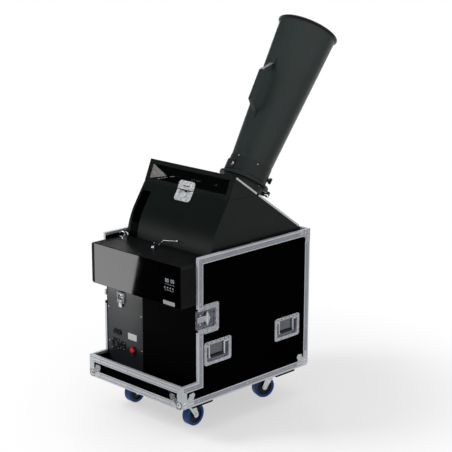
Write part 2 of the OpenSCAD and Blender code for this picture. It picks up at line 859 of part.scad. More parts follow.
module draw_latch_bail() {
    l = bail_down + keeper_above;
    color("silver") at_draw_latch() translate([0, -bail_down, draw_out]) {
        rotate([0, 90, 0]) cylinder(bail_w, r = bail_r, center = true);
        for (s = [-1, 1]) translate([s * bail_w / 2, 0, 0]) {
            sphere(bail_r);
            rotate([-90, 0, 0]) cylinder(l, r = bail_r);
            translate([0, l, 0]) sphere(bail_r);
        }
        translate([0, l, 0]) rotate([0, 90, 0]) cylinder(bail_w, r = bail_r, center = true);
    }
}

// Control box across the front

module box_outline(d) {
    translate([0, box_bottom + box_h / 2]) round_rect(2 * (ledge_x - d), box_h - 2 * d, box_r - d);
}

module control_box() {
    wall = sheet_t;
    color("#1a1c1d") difference() {
        union() {
            translate([0, riser_y, 0]) rotate([90, 0, 0]) linear_extrude(box_depth) box_outline(0);
            translate([-ledge_x, riser_y - eps, ledge_z - wall])
                cube([2 * ledge_x, ledge_split - riser_y, wall]);
        }
        translate([0, riser_y - wall, 0]) rotate([90, 0, 0]) linear_extrude(box_depth - 2 * wall) box_outline(wall);
        translate([0, box_front + wall + 1, 0]) rotate([90, 0, 0]) linear_extrude(wall + 2) {
            key_places() circle(key_r + 0.6);
            translate([keys_x, box_bottom + display_up]) square([display_w - 6, display_h - 6], center = true);
        }
        for (at = [[lever_x, lever_y], [ring_x, ring_y]]) translate([at[0], at[1], ledge_z - wall - 1])
            cylinder(wall + 2, r = boss_stem_r + pin_play);
    }
}

module key_places() {
    for (i = [-1.5 : 1.5]) translate([keys_x + i * key_pitch, box_bottom + keys_up]) children();
}

module control_panel() {
    color("#050506") translate([0, box_front, 0]) rotate([90, 0, 0]) linear_extrude(acrylic_t) difference() {
        translate([0, box_bottom + box_h / 2])
            round_rect(2 * (ledge_x - acrylic_end), box_h - 2 * acrylic_margin, 4);
        key_places() circle(key_r + 0.1);
        translate([keys_x, box_bottom + display_up]) square([display_w, display_h], center = true);
    }
}

module display() {
    color("#2a2d30") translate([keys_x, box_front, box_bottom + display_up]) rotate([90, 0, 0]) {
        linear_extrude(acrylic_t) square([display_w - 0.4, display_h - 0.4], center = true);
        translate([0, 0, -8]) linear_extrude(8 + eps) square([display_w - 6.4, display_h - 6.4], center = true);
    }
}

module key(i) {
    color("#d9dadb") translate([keys_x + (i - 1.5) * key_pitch, box_front, box_bottom + keys_up]) rotate([90, 0, 0]) {
        translate([0, 0, -sheet_t - 2]) cylinder(acrylic_t + key_proud + sheet_t + 1.5, r = key_r);
        translate([0, 0, acrylic_t + key_proud - 0.5]) cylinder(0.5, r1 = key_r, r2 = key_r - 0.5);
        translate([0, 0, -sheet_t - 3]) cylinder(1.5, r = key_r + 1.2);
    }
}

// Hood over the hopper, with its lid

seam_z = ledge_z + seam_up;
top_z = ledge_z + top_up;
hinge_at = [top_y + hinge_run * cos(deck_angle), top_z - hinge_run * sin(deck_angle)];
deck_end = [top_y + deck_run * cos(deck_angle), top_z - deck_run * sin(deck_angle)];
foot_at = [hood_foot_y, ledge_z];
top_at = [top_y, top_z];
seam_at = [seam_y, seam_z];
curve_at = foot_at + curve_r * [sin(curve_angle), -cos(curve_angle)];
to_seam = seam_at - curve_at;
curve_end = atan2(to_seam[1], to_seam[0]) + acos(curve_r / norm(to_seam));
curve_start = 90 + curve_angle;
curve_half = (curve_start - curve_end) / 2;
curve_top = curve_at + curve_r * [cos(curve_end), sin(curve_end)];
curve_peak = curve_at + curve_r / cos(curve_half) * [cos(curve_end + curve_half), sin(curve_end + curve_half)];
front_angle = curve_end - 90;
lid_angle = atan2(top_z - seam_z, top_y - seam_y);
hood_points = [foot_at, [hood_back_y, ledge_z], [hood_back_y, deck_end[1] - (hood_back_y - deck_end[0])],
    deck_end, top_at, seam_at, curve_top, curve_peak];

// Side view of the hood, made smaller all round by d
module hood_profile(d) {
    difference() {
        polygon(inset(hood_points, d));
        difference() {
            polygon([foot_at, curve_top, 2 * curve_peak - (foot_at + curve_top) / 2]);
            translate(curve_at) circle(curve_r - d, $fn = 180);
        }
    }
}

module hood_skin() {
    difference() {
        across(hood_w) hood_profile(0);
        across(hood_w - 2 * sheet_t) hood_profile(sheet_t);
        translate([-mouth_x, hood_foot_y + 4, ledge_z - 1]) cube([2 * mouth_x, hood_back_y - hood_foot_y - 8, sheet_t + 2]);
    }
}

far = 500;

// Everything above the seam line, shifted by d along its normal
module above_seam(d) {
    dir = (hinge_at - seam_at) / norm(hinge_at - seam_at);
    up = [-dir[1], dir[0]];
    across(hood_w + 2) polygon([seam_at + d * up - far * dir, hinge_at + d * up,
        hinge_at + d * up + far * up, seam_at + far * up - far * dir]);
}

module deck_frame(run) {
    translate([0, top_y + run * cos(deck_angle), top_z - run * sin(deck_angle)]) rotate([-deck_angle, 0, 0])
        children();
}

// Distance along the barrel axis from the cone's foot down to the deck
foot_h = ((barrel_z - top_z) + (barrel_y - top_y) * tan(deck_angle))
    / (cos(barrel_tilt) + sin(barrel_tilt) * tan(deck_angle));
foot_plate_y = barrel_y - foot_h * sin(barrel_tilt);
foot_plate_z = barrel_z - foot_h * cos(barrel_tilt);
knuckle_out = knuckle_r - 0.4;
knuckles = 7;

module hinge_knuckles(odd) {
    seg = hinge_l / knuckles;
    deck_frame(hinge_run) translate([0, 0, knuckle_out]) rotate([0, 90, 0])
        for (i = [0 : knuckles - 1]) if (i % 2 == odd)
            translate([0, 0, (i - (knuckles - 1) / 2) * seg]) cylinder(seg - 0.8, r = knuckle_r, center = true);
}

module hinge_leaf(toward, odd) {
    seg = hinge_l / knuckles;
    deck_frame(hinge_run) for (i = [0 : knuckles - 1]) if (i % 2 == odd)
        translate([(i - (knuckles - 1) / 2) * seg - (seg - 0.8) / 2, toward > 0 ? 1.5 : -23.5, -0.5])
            cube([seg - 0.8, 22, 2.5]);
}

module hinge_slot(odd) {
    seg = hinge_l / knuckles;
    deck_frame(hinge_run) translate([0, 0, knuckle_out]) rotate([0, 90, 0])
        for (i = [0 : knuckles - 1]) if (i % 2 == odd)
            translate([0, 0, (i - (knuckles - 1) / 2) * seg]) cylinder(seg + 0.4, r = knuckle_r + 0.8, center = true);
}

module on_front(down) {
    translate([0, seam_y, seam_z]) rotate([front_angle, 0, 0]) translate([0, -down, 0]) children();
}

module on_lid_front(up) {
    translate([0, seam_y, seam_z]) rotate([lid_angle, 0, 0]) translate([0, up, 0]) children();
}

hood_pan_w = 74;
hood_pan_depth = 12;

module hood_shell() {
    color("#1c1f1f") union() {
        difference() {
            union() {
                difference() {
                    hood_skin();
                    above_seam(-seam_gap / 2);
                }
                hinge_leaf(1, 0);
            }
            hinge_slot(1);
            on_barrel() translate([0, 0, -foot_h - 40]) cylinder(80, r = tube_r + 1);
            translate([-hood_w / 2 + window_side + 8, hood_foot_y - 5, ledge_z + 12])
                cube([window_w - 16, 150, window_up - 30]);
            on_front(hood_latch_down / 2) translate([-hood_pan_w / 2 - 1, -hood_latch_down / 2 + 7, -10])
                cube([hood_pan_w + 2, hood_latch_down + 10, 20]);
        }
        hinge_knuckles(0);
        deck_frame(hinge_run) translate([0, 0, knuckle_out]) rotate([0, 90, 0])
            cylinder(hinge_l + 3, r = hinge_pin_r, center = true);
    }
}

module fill_window() {
    color("black") translate([-hood_w / 2 + window_side + window_w / 2, 0, 0]) intersection() {
        across(window_w) difference() {
            hood_profile(-1.2);
            hood_profile(0);
        }
        translate([-window_w, hood_foot_y - 20, ledge_z + 1]) cube([2 * window_w, 190, window_up]);
    }
}

module lid_shell() {
    color("#1c1f1f") difference() {
        union() {
            intersection() {
                hood_skin();
                above_seam(seam_gap / 2);
            }
            hinge_leaf(-1, 1);
            hinge_knuckles(1);
        }
        hinge_slot(0);
        deck_frame(hinge_run) translate([0, 0, knuckle_out]) rotate([0, 90, 0])
            cylinder(hinge_l + 6, r = hinge_pin_r + pin_play, center = true);
        on_lid_front(lid_front_l - grille_down - grille_h / 2)
            cube([grille_w, grille_h, 30], center = true);
    }
}

lid_front_l = norm(top_at - seam_at);
mesh_pitch = 40;
mesh_bar = 3;

module lid_grille() {
    w = grille_w + 12;
    h = grille_h + 8;
    color("#2b2d2e") on_lid_front(lid_front_l - grille_down - grille_h / 2) translate([0, 0, -sheet_t - 1.5])
        linear_extrude(1.5) difference() {
            square([w, h], center = true);
            for (i = [0 : 11], j = [0 : 2])
                translate([(i - 5.5) * mesh_pitch, (j - 1) * (h - 4) / 3])
                    square([mesh_pitch - mesh_bar, (h - 4) / 3 - mesh_bar], center = true);
        }
}

hood_post_down = 20;

module hood_latch_dish() {
    flange_h = hood_latch_down - seam_gap;
    pan_in = hood_latch_down - 12;
    color("silver") on_front(0) {
        difference() {
            union() {
                linear_extrude(press_t) intersection() {
                    translate([0, 0]) round_rect(hood_latch_w, 2 * hood_latch_down, 14);
                    translate([-hood_latch_w / 2, -hood_latch_down]) square([hood_latch_w, flange_h]);
                }
                translate([-hood_pan_w / 2, -pan_in, -hood_pan_depth])
                    cube([hood_pan_w, pan_in - seam_gap, hood_pan_depth + eps]);
            }
            translate([-hood_pan_w / 2 + press_t, -pan_in + press_t, press_t - hood_pan_depth])
                cube([hood_pan_w - 2 * press_t, pan_in, hood_pan_depth + 4]);
        }
        translate([0, -hood_post_down, 0]) difference() {
            translate([0, 0, press_t - hood_pan_depth - eps])
                cylinder(post_top + hood_pan_depth - press_t + eps, r = latch_post_r - 2);
            translate([0, 0, press_t - hood_pan_depth + 1]) cylinder(pan_depth, r = wing_stem_r + pin_play);
        }
    }
}

hood_wing_w = 17;
hood_wing_h = 8;

module hood_latch_wing() {
    color("#d5d8dd") on_front(hood_post_down) {
        translate([0, 0, post_top + wing_gap]) linear_extrude(wing_t) {
            polygon([[-hood_wing_w, 0], [0, -hood_wing_h], [hood_wing_w, 0], [0, hood_wing_h]]);
            circle(wing_stem_r + 4);
        }
        translate([-12, -1.2, post_top + wing_gap]) cube([24, 2.4, wing_t + 2]);
        translate([0, 0, press_t - hood_pan_depth + 1.5])
            cylinder(hood_pan_depth + post_top + wing_gap - press_t - 1, r = wing_stem_r);
    }
}

module lid_keeper() {
    color("silver") on_lid_front(0) {
        difference() {
            translate([0, 0, eps]) linear_extrude(press_t + 1) intersection() {
                round_rect(hood_latch_w, 2 * keeper_up, 14);
                translate([-hood_latch_w / 2, seam_gap + 1]) square([hood_latch_w, keeper_up]);
            }
            translate([-hood_pan_w / 2 + 6, -1, -1]) cube([hood_pan_w - 12, keeper_up - 16, press_t + 5]);
        }
        translate([-18, keeper_up - 20, eps]) cube([36, 6, press_t + 2.5]);
    }
}

// Chrome levers on the ledge

lever_x = -28;
lever_y = -257;
ring_x = -238;
ring_y = -250;
boss_stem_r = 4;
rod_r = 2.6;
ring_rod_r = 2.4;
lever_points = [[0, 0, 6], [9, -4, 24], [22, -8, 30], [20, 8, 14], [14, 22, 9], [28, 34, 30], [92, 56, 34]];

rod_sides = 10;

function along(path, i) = let(a = path[max(i - 1, 0)], b = path[min(i + 1, len(path) - 1)]) (b - a) / norm(b - a);
function rod_ring(at, dir, r) = let(u = cross(dir, [0, 0, 1]) / norm(cross(dir, [0, 0, 1])), v = cross(dir, u))
    [for (k = [0 : rod_sides - 1]) at + r * (cos(k * 360 / rod_sides) * u + sin(k * 360 / rod_sides) * v)];

// A bent rod of radius r along a path
module bent_rod(path, r) {
    n = rod_sides;
    last = len(path) - 1;
    polyhedron([for (i = [0 : last]) each rod_ring(path[i], along(path, i), r)],
        concat([[for (k = [0 : n - 1]) k]], [[for (k = [n - 1 : -1 : 0]) last * n + k]],
            [for (i = [0 : last - 1], k = [0 : n - 1]) [i * n + (k + 1) % n, i * n + k, (i + 1) * n + k]],
            [for (i = [0 : last - 1], k = [0 : n - 1])
                [i * n + (k + 1) % n, (i + 1) * n + k, (i + 1) * n + (k + 1) % n]]));
}

module hood_lever() {
    color("silver") translate([lever_x, lever_y, ledge_z]) {
        translate([0, 0, 0.3]) cylinder(7, r1 = 8, r2 = 6);
        translate([0, 0, -sheet_t - 6]) cylinder(sheet_t + 8, r = boss_stem_r);
        bent_rod(lever_points, rod_r);
        translate(lever_points[len(lever_points) - 1]) sphere(5);
    }
}

ring_r_mid = 12;
ring_up = 19;
ring_arm = [[7.3, 7.3, 25], [12, 9, 30], [20, 8.5, 32], [29, 6, 29.5], [36, 3, 22]];
ring_turn = 45;
ring_path = [for (a = [-60 : 20 : 240])
    [ring_r_mid * sin(a) * cos(ring_turn), ring_r_mid * sin(a) * sin(ring_turn), ring_up - ring_r_mid * cos(a)]];

module hood_ring() {
    color("silver") translate([ring_x, ring_y, ledge_z]) {
        translate([0, 0, 0.3]) cylinder(5, r1 = 8, r2 = 6);
        translate([0, 0, -sheet_t - 6]) cylinder(sheet_t + 8, r = boss_stem_r);
        bent_rod(ring_path, ring_rod_r);
        bent_rod(ring_arm, ring_rod_r);
    }
}

// Barrel, its collar and the fixed tube on the deck

function cone_r(h) = barrel_r1 + (barrel_r2 - barrel_r1) * h / barrel_l;

tube_top = -collar_l - swivel_gap;
spigot_r = tube_r - tube_wall - swivel_gap;
spigot_wall = 2.7;
collar_wall = 5;
pin_h = -115;
pin_groove = 1.2;
knob_h = -45;
low_knob_h = -102;
side_angle = 45;
pin_angle = 38;
knob_r = 14;
knob_t = 14;
knob_stem_r = 4;
boss_r = 9;
foot_t = 3;

module deck_flange() {
    color("#26292a") {
        difference() {
            union() {
                on_barrel() translate([0, 0, -foot_h - 14]) cylinder(tube_top + foot_h + 14, r = tube_r);
                on_barrel() translate([0, 0, tube_top - ring_t]) cylinder(ring_t, r = ring_r);
                translate([0, foot_plate_y, foot_plate_z]) rotate([-deck_angle, 0, 0]) linear_extrude(foot_t)
                    round_rect(foot_plate, foot_plate, 14);
                on_barrel() rotate(pin_angle) translate([tube_r - 2, 0, pin_h]) rotate([0, 90, 0])
                    cylinder(14, r = boss_r);
            }
            on_barrel() translate([0, 0, -foot_h - 60]) cylinder(foot_h + 60, r = tube_r - tube_wall);
            on_barrel() rotate(pin_angle) translate([tube_r - 20, 0, pin_h]) rotate([0, 90, 0])
                cylinder(50, r = pin_r + pin_play);
            on_barrel() rotate(side_angle + 10) translate([tube_r - 20, 0, low_knob_h]) rotate([0, 90, 0])
                cylinder(60, r = knob_stem_r + pin_play);
        }
    }
}

lug_from = -135;
lug_to = -90;
lug_h = 48;
lug_low = -75;
lug_proud = 6;
groove_h = -74;

module swivel_collar() {
    color("#3a4242") on_barrel() difference() {
        union() {
            translate([0, 0, -collar_l]) cylinder(collar_l, r = collar_r);
            intersection() {
                translate([0, 0, lug_low]) cylinder(lug_h, r = collar_r + lug_proud);
                translate([0, 0, lug_low]) linear_extrude(lug_h)
                    polygon([[0, 0], 200 * [cos(lug_from), sin(lug_from)], 200 * [cos(lug_to), sin(lug_to)]]);
            }
            rotate(side_angle) translate([collar_r - 3, 0, knob_h]) rotate([0, 90, 0]) cylinder(7, r = boss_r);
        }
        translate([0, 0, -collar_l - 1]) cylinder(collar_l + 2, r = spigot_r - spigot_wall);
        translate([0, 0, -16]) cylinder(20, r = barrel_r1 - barrel_wall - 2);
        translate([0, 0, groove_h]) difference() {
            cylinder(3, r = collar_r + 20, center = true);
            cylinder(4, r = collar_r - 2, center = true);
        }
        rotate(side_angle) translate([collar_r - 20, 0, knob_h]) rotate([0, 90, 0])
            cylinder(40, r = knob_stem_r + pin_play);
    }
}

// Tube under the collar that turns inside the fixed tube, with a groove for the pin
module collar_spigot() {
    color("#3a4242") on_barrel() difference() {
        translate([0, 0, -collar_l - spigot_l]) cylinder(spigot_l, r = spigot_r);
        translate([0, 0, -collar_l - spigot_l - 1]) cylinder(spigot_l + 2, r = spigot_r - spigot_wall);
        translate([0, 0, pin_h]) difference() {
            cylinder(2 * pin_r + 1, r = spigot_r + 5, center = true);
            cylinder(2 * pin_r + 2, r = spigot_r - pin_groove, center = true);
        }
    }
}

module barrel() {
    color("#3a4040") on_barrel() difference() {
        cylinder(barrel_l, r1 = barrel_r1, r2 = barrel_r2);
        translate([0, 0, -eps]) cylinder(barrel_l + 2 * eps, r1 = barrel_r1 - barrel_wall, r2 = barrel_r2 - barrel_wall);
    }
}

module barrel_rim() {
    color("#101112") on_barrel() rotate_extrude($fn = 128) difference() {
        translate([rim_ring_r, rim_along]) circle(rim_r, $fn = 32);
        polygon([[0, barrel_l - 40], [cone_r(barrel_l - 40), barrel_l - 40], [cone_r(barrel_l + 20), barrel_l + 20],
            [0, barrel_l + 20]]);
    }
}

// Bar of thickness t between two points of the handle's side view
module flat_bar(a, b) {
    v = b - a;
    translate(a) rotate(atan2(v[1], v[0])) {
        translate([0, 0]) square([norm(v), grip_t]);
        translate([0, grip_t / 2]) circle(grip_t / 2, $fn = 24);
        translate([norm(v), grip_t / 2]) circle(grip_t / 2, $fn = 24);
    }
}

tab_l = 24;

module barrel_handle() {
    low = [cone_r(grip_low) + grip_out, grip_low];
    high = [cone_r(grip_high) + grip_out, grip_high];
    foot = [cone_r(grip_foot) - 0.5, grip_foot];
    head = [cone_r(grip_head) - 0.5, grip_head];
    foot_end = [cone_r(grip_foot - tab_l) - 0.5, grip_foot - tab_l];
    head_end = [cone_r(grip_head + tab_l) - 0.5, grip_head + tab_l];
    color("#2e3333") on_barrel() difference() {
        rotate([90, 0, -90]) linear_extrude(grip_w, center = true) {
            flat_bar(head_end, head);
            flat_bar(head, high);
            flat_bar(high, low);
            flat_bar(low, foot);
            flat_bar(foot, foot_end);
        }
        translate([0, 0, -eps]) cylinder(barrel_l, r1 = barrel_r1, r2 = barrel_r2);
    }
}

// Clamping knob with a fluted rim on a radial stem
module radial_knob(angle, h, from_r, head_at) {
    on_barrel() rotate(angle) translate([0, 0, h]) rotate([0, 90, 0]) {
        translate([0, 0, from_r]) cylinder(head_at - from_r + 1, r = knob_stem_r);
        translate([0, 0, head_at]) difference() {
            cylinder(knob_t, r = knob_r);
            for (a = [0 : 45 : 315]) rotate(a) translate([knob_r + 2, 0, -1]) cylinder(knob_t + 2, r = 4.5);
        }
    }
}

module collar_knob_upper() {
    color("#141516") radial_knob(side_angle, knob_h, collar_r - collar_wall + 2, collar_r + 5);
}

module collar_knob_lower() {
    color("#141516") radial_knob(side_angle + 10, low_knob_h, tube_r - tube_wall + 0.6, ring_r + 2);
}

pin_r = 3.5;

module collar_pin() {
    color("silver") on_barrel() rotate(pin_angle) translate([0, 0, pin_h]) rotate([0, 90, 0]) {
        translate([0, 0, spigot_r - pin_groove + 0.3]) cylinder(33, r = pin_r);
        translate([0, 0, tube_r + 13]) cylinder(5, r = 6.5);
        translate([0, 0, tube_r + 27]) rotate([90, 0, 0]) cylinder(28, r = 3, center = true);
    }
}

// Hopper, feed and fan inside the housing

// Seen along the barrel axis, the fan sits behind it by its own radius less the duct's
fan_side = fan_r - duct_r;
neck_top = -fan_down + fan_r + 6;
duct_top = tube_top - spigot_l - 20;
fan_y = barrel_y + fan_side * cos(barrel_tilt) - fan_down * sin(barrel_tilt);
fan_z = barrel_z - fan_side * sin(barrel_tilt) - fan_down * cos(barrel_tilt);

roller_z = ledge_z - roller_down;
funnel_t = 1.5;
funnel_x = roller_l / 2 + 3;
trough_r = blade_r + 2;

module slope(a, b, w) {
    across(w) {
        v = b - a;
        translate(a) rotate(atan2(v[1], v[0])) square([norm(v), funnel_t]);
    }
}

port_low = neck_top + 24;
chute_end = [barrel_y + port_low * sin(barrel_tilt) - duct_r * cos(barrel_tilt) - 2,
    barrel_z + port_low * cos(barrel_tilt) + duct_r * sin(barrel_tilt)];
funnel_rear_l = 268;
funnel_rear_low = [roller_y + trough_r + 1, roller_z];
funnel_rear_high = funnel_rear_low + funnel_rear_l * [sin(barrel_tilt), cos(barrel_tilt)];
funnel_w = 2 * (funnel_x + funnel_t);

module hopper_funnel() {
    color("#55585a") {
        translate([-funnel_w / 2, hood_foot_y - 6, ledge_z - sheet_t - funnel_t]) cube([funnel_w, 14, funnel_t]);
        slope([hood_foot_y + 6, ledge_z - sheet_t - funnel_t], [roller_y - trough_r - 1, roller_z - 8], funnel_w);
        slope(funnel_rear_high, funnel_rear_low, funnel_w);
        difference() {
            for (s = [-1, 1]) translate([s * (funnel_x + funnel_t / 2), 0, 0]) across(funnel_t)
                polygon([[hood_foot_y + 8, ledge_z - 6], [roller_y - trough_r, roller_z - 30],
                    [roller_y + trough_r, roller_z - 34], funnel_rear_low, [roller_y + trough_r + 12, ledge_z - 6]]);
            translate([0, roller_y, roller_z]) rotate([0, 90, 0])
                cylinder(2 * funnel_x + 10, r = journal_r + pin_play, center = true);
        }
        slope([roller_y - trough_r, roller_z - 30], chute_end, funnel_w);
    }
}

module feed_roller() {
    color("#b9bcc0") translate([0, roller_y, roller_z]) rotate([0, 90, 0]) {
        cylinder(roller_l, r = roller_r, center = true);
        translate([0, 0, -roller_l / 2 - 8]) cylinder(roller_l + 24, r = journal_r);
        for (a = [0 : 60 : 300]) rotate(a) translate([0, -1, -roller_l / 2 + 2])
            cube([blade_r, 2, roller_l - 4]);
    }
}

feed_motor_r = 26;
motor_gap = 8.5;
feed_motor_l = cabinet_x - sheet_t - funnel_x - funnel_t - motor_gap;

module feed_motor() {
    color("#3c4043") translate([funnel_x + funnel_t, roller_y, roller_z]) rotate([0, 90, 0]) difference() {
        union() {
            cylinder(8, r = feed_motor_r + 5);
            cylinder(feed_motor_l, r = feed_motor_r);
        }
        translate([0, 0, -1]) cylinder(20, r = journal_r + pin_play);
    }
}

module on_fan() {
    on_barrel() translate([0, fan_side, -fan_down]) rotate([0, 90, 0]) children();
}

module scroll_solid(d) {
    on_fan() cylinder(fan_w - 2 * d, r = fan_r - d, center = true);
    on_barrel() translate([-duct_r + d, -duct_r + d, -fan_down])
        cube([2 * (duct_r - d), 2 * (duct_r - d), neck_top + fan_down - (d > 0 ? -1 : 0)]);
}

inlet_r = 95;

module fan_feet() {
    for (s = [-1, 1]) translate([s * (fan_w / 2 + 1) - 2, fan_y - 60, cabinet_low + sheet_t])
        cube([4, 120, fan_z - fan_r + 60 - cabinet_low]);
}

module fan_scroll() {
    color("#2c3032") difference() {
        union() {
            scroll_solid(0);
            fan_feet();
        }
        scroll_solid(sheet_t);
        on_fan() translate([0, 0, -fan_w]) cylinder(fan_w, r = inlet_r);
        on_fan() cylinder(fan_w, r = shaft_r + 3);
    }
}

module blast_duct() {
    color("#2c3032") on_barrel() difference() {
        union() {
            translate([0, 0, neck_top]) cylinder(duct_top - neck_top, r = duct_r);
            translate([-duct_r, -duct_r, neck_top]) cube([2 * duct_r, 2 * duct_r, 4]);
        }
        translate([0, 0, neck_top - 1]) cylinder(duct_top - neck_top + 2, r = duct_r - 3);
        translate([-feed_port_w / 2, -duct_r - 5, port_low]) cube([feed_port_w, 40, 44]);
    }
}

feed_port_w = 120;
blades = 12;

module fan_impeller() {
    color("#9ea2a6") on_fan() {
        translate([0, 0, fan_w / 2 - 16]) cylinder(4, r = wheel_r);
        translate([0, 0, -fan_w / 2 + 14]) difference() {
            cylinder(4, r = wheel_r);
            translate([0, 0, -1]) cylinder(6, r = wheel_r - 24);
        }
        for (i = [0 : blades - 1]) rotate(i * 360 / blades) translate([wheel_r - 22, -1, -fan_w / 2 + 15])
            rotate([0, 0, 20]) cube([20, 2.5, fan_w - 30]);
        translate([0, 0, fan_w / 2 - 50]) cylinder(46, r = shaft_r + 14);
        translate([0, 0, fan_w / 2 - 60]) cylinder(110, r = shaft_r);
    }
}

fan_motor_r = 72;
fan_motor_l = 130;

module fan_motor() {
    color("#4a4e52") on_fan() translate([0, 0, fan_w / 2]) difference() {
        union() {
            cylinder(fan_motor_l, r = fan_motor_r);
            for (a = [0 : 15 : 345]) rotate(a) translate([fan_motor_r - 2, -1.5, 10]) cube([8, 3, fan_motor_l - 20]);
        }
        translate([0, 0, -1]) cylinder(60, r = shaft_r + pin_play);
    }
}

board_side = 31;
board_back = 60;
board = [130, 3, 290];
relay = [46, 30, 50];
relay_x = 12;
relay_z = 72;
relay_pitch = 69;
supply = [44, 40, 150];
supply_at = [70, 90];

// Main board with three power relays and a supply
module electronics() {
    color("#2f6b45") translate([-cabinet_x + board_side, cabinet_front + board_back, cabinet_low + sheet_t]) {
        cube(board);
        for (i = [0 : 2]) translate([relay_x, board[1], relay_z + i * relay_pitch]) cube(relay);
        translate([supply_at[0], board[1], supply_at[1]]) cube(supply);
    }
}

// Bolts, screws and the fixed parts of the draw latch

module castor_bolts() {
    at_castors() castor_bolt_places() {
        translate([0, 0, castor_top - plate_t - bolt_head_h])
            cylinder(bolt_head_h, r = bolt_head_r, $fn = 6);
        translate([0, 0, castor_top - plate_t - 1]) cylinder(plate_t + 1, r = bolt_r - 0.05);
    }
}

module draw_latch_base() {
    at_draw_latch() {
        translate([-draw_base_w / 2, -14, 0]) cube([draw_base_w, 26, 1.5]);
        for (s = [-1, 1]) translate([s * (draw_lever_w / 2 + 2) - 1, -5, 0]) cube([2, 10, draw_out + 3]);
        translate([0, 0, draw_out]) rotate([0, 90, 0]) cylinder(draw_lever_w + 8, r = draw_pin_r, center = true);
        translate([0, keeper_above, 0]) draw_keeper();
    }
}

module draw_keeper() {
    translate([-9, -17, 0]) cube([18, 14, 2]);
    translate([-9, -6.5, 0]) cube([18, 3, draw_out + 3]);
}

module fasteners() {
    color("silver") {
        castor_bolts();
        draw_latch_base();
        translate([0, plate_y, 0]) rotate([90, 0, 0]) connector_screw_places() {
            cylinder(screw_head_h, r1 = screw_head_r, r2 = screw_head_r - 1);
            translate([0, 0, -sheet_t]) cylinder(sheet_t + 1, r = screw_r - 0.05);
        }
    }
}

place() case_floor();
place() case_walls();
place() case_edging();
place() ball_corners();
place() castor_plates();
place() castor_fork(-1, -1, 0);  // castor_fork_fl
place() castor_fork(1, -1, 0);  // castor_fork_fr
place() castor_fork(-1, 1, 0);  // castor_fork_bl
place() castor_fork(1, 1, castor_turn);  // castor_fork_br
place() castor_wheel(-1, -1, 0);  // castor_wheel_fl
place() castor_wheel(1, -1, 0);  // castor_wheel_fr
place() castor_wheel(-1, 1, 0);  // castor_wheel_bl
place() castor_wheel(1, 1, castor_turn);  // castor_wheel_br
place() side_dishes();
place() case_handle(false, handle_y_front);  // case_handle_lf
place() case_handle(false, handle_y_back);  // case_handle_lb
place() case_handle(true, handle_y_front);  // case_handle_rf
place() case_handle(true, handle_y_back);  // case_handle_rb
place() case_latch(false);  // case_latch_left
place() case_latch(true);  // case_latch_right
place() cabinet();
place() connector_plate();
place() panel_sockets();
place() stop_button();
place() draw_latch_lever();
place() draw_latch_bail();
place() control_box();
place() control_panel();
place() display();
place() key(0);  // button_1
place() key(1);  // button_2
place() key(2);  // button_3
place() key(3);  // button_4
place() hood_shell();
place() fill_window();
place() hood_lever();
place() hood_ring();
place() hood_latch_dish();
place() hood_latch_wing();
place() lid_shell();
place() lid_grille();
place() lid_keeper();
place() deck_flange();
place() swivel_collar();
place() collar_spigot();
place() barrel();
place() barrel_rim();
place() barrel_handle();
place() collar_knob_upper();
place() collar_knob_lower();
place() collar_pin();
place() hopper_funnel();
place() feed_roller();
place() feed_motor();
place() blast_duct();
place() fan_scroll();
place() fan_impeller();
place() fan_motor();
place() electronics();
place() fasteners();
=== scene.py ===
"""Confetti blower in its wheeled flight case, dressed over the fixed frame."""
import bpy
import json
import math
from mathutils import Matrix, Vector


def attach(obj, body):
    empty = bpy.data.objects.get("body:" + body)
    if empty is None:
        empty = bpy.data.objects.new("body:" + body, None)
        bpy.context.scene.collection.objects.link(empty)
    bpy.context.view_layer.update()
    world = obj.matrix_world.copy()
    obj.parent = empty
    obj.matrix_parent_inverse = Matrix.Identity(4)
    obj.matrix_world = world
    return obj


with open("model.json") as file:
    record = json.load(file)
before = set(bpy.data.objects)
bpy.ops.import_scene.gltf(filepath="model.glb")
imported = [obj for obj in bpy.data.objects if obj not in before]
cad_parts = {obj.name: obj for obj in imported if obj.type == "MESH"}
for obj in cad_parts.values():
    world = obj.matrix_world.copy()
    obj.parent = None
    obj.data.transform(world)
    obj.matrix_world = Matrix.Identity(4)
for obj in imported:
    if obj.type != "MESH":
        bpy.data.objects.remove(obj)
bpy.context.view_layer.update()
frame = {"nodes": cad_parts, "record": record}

# Places in case millimetres: x to the right, y to the back, z up from the case's underside
MIDDLE_Y, DROP = 210.27, 143.0
HALF_W, HALF_D, CASE_H, TRAY_H = 300.0, 400.0, 648.0, 101.0
RISER_Y = -304.0
LEDGE_Z, PLATE_Y, PANEL_FACE = 622.0, -302.0, -387.0
SEAM = (-86.0, 854.0)
TOP = (-46.0, 950.0)
COLLAR = (329.2, 914.7)
DECK_ANGLE, FRONT_ANGLE, LID_ANGLE, TILT = 34.8, 57.158, 67.38, 33.1
ROW = Matrix.Translation((0, -MIDDLE_Y / 1000, DROP / 1000)) @ Matrix.Scale(0.001, 4)
BOTH = (True, False)
EVEN = (1, 1, 1)


def rot(axis, deg):
    return Matrix.Rotation(math.radians(deg), 4, axis)


def shift(x, y, z):
    return Matrix.Translation((x, y, z))


def on_side(right):
    m = shift(HALF_W, 0, 0) @ rot("Z", 90) @ rot("X", 90)
    return m if right else Matrix.Scale(-1, 4, (1, 0, 0)) @ m


def facing_front(y):
    return shift(0, y, 0) @ rot("X", 90)


def facing_back(y):
    return shift(0, y, 0) @ rot("Z", 180) @ rot("X", 90)


def on_front():
    return shift(0, *SEAM) @ rot("X", FRONT_ANGLE)


def on_lid_front(up):
    return shift(0, *SEAM) @ rot("X", LID_ANGLE) @ shift(0, up, 0)


def on_deck():
    return shift(0, *TOP) @ rot("X", -DECK_ANGLE)


BARREL = shift(0, *COLLAR) @ rot("X", -TILT)


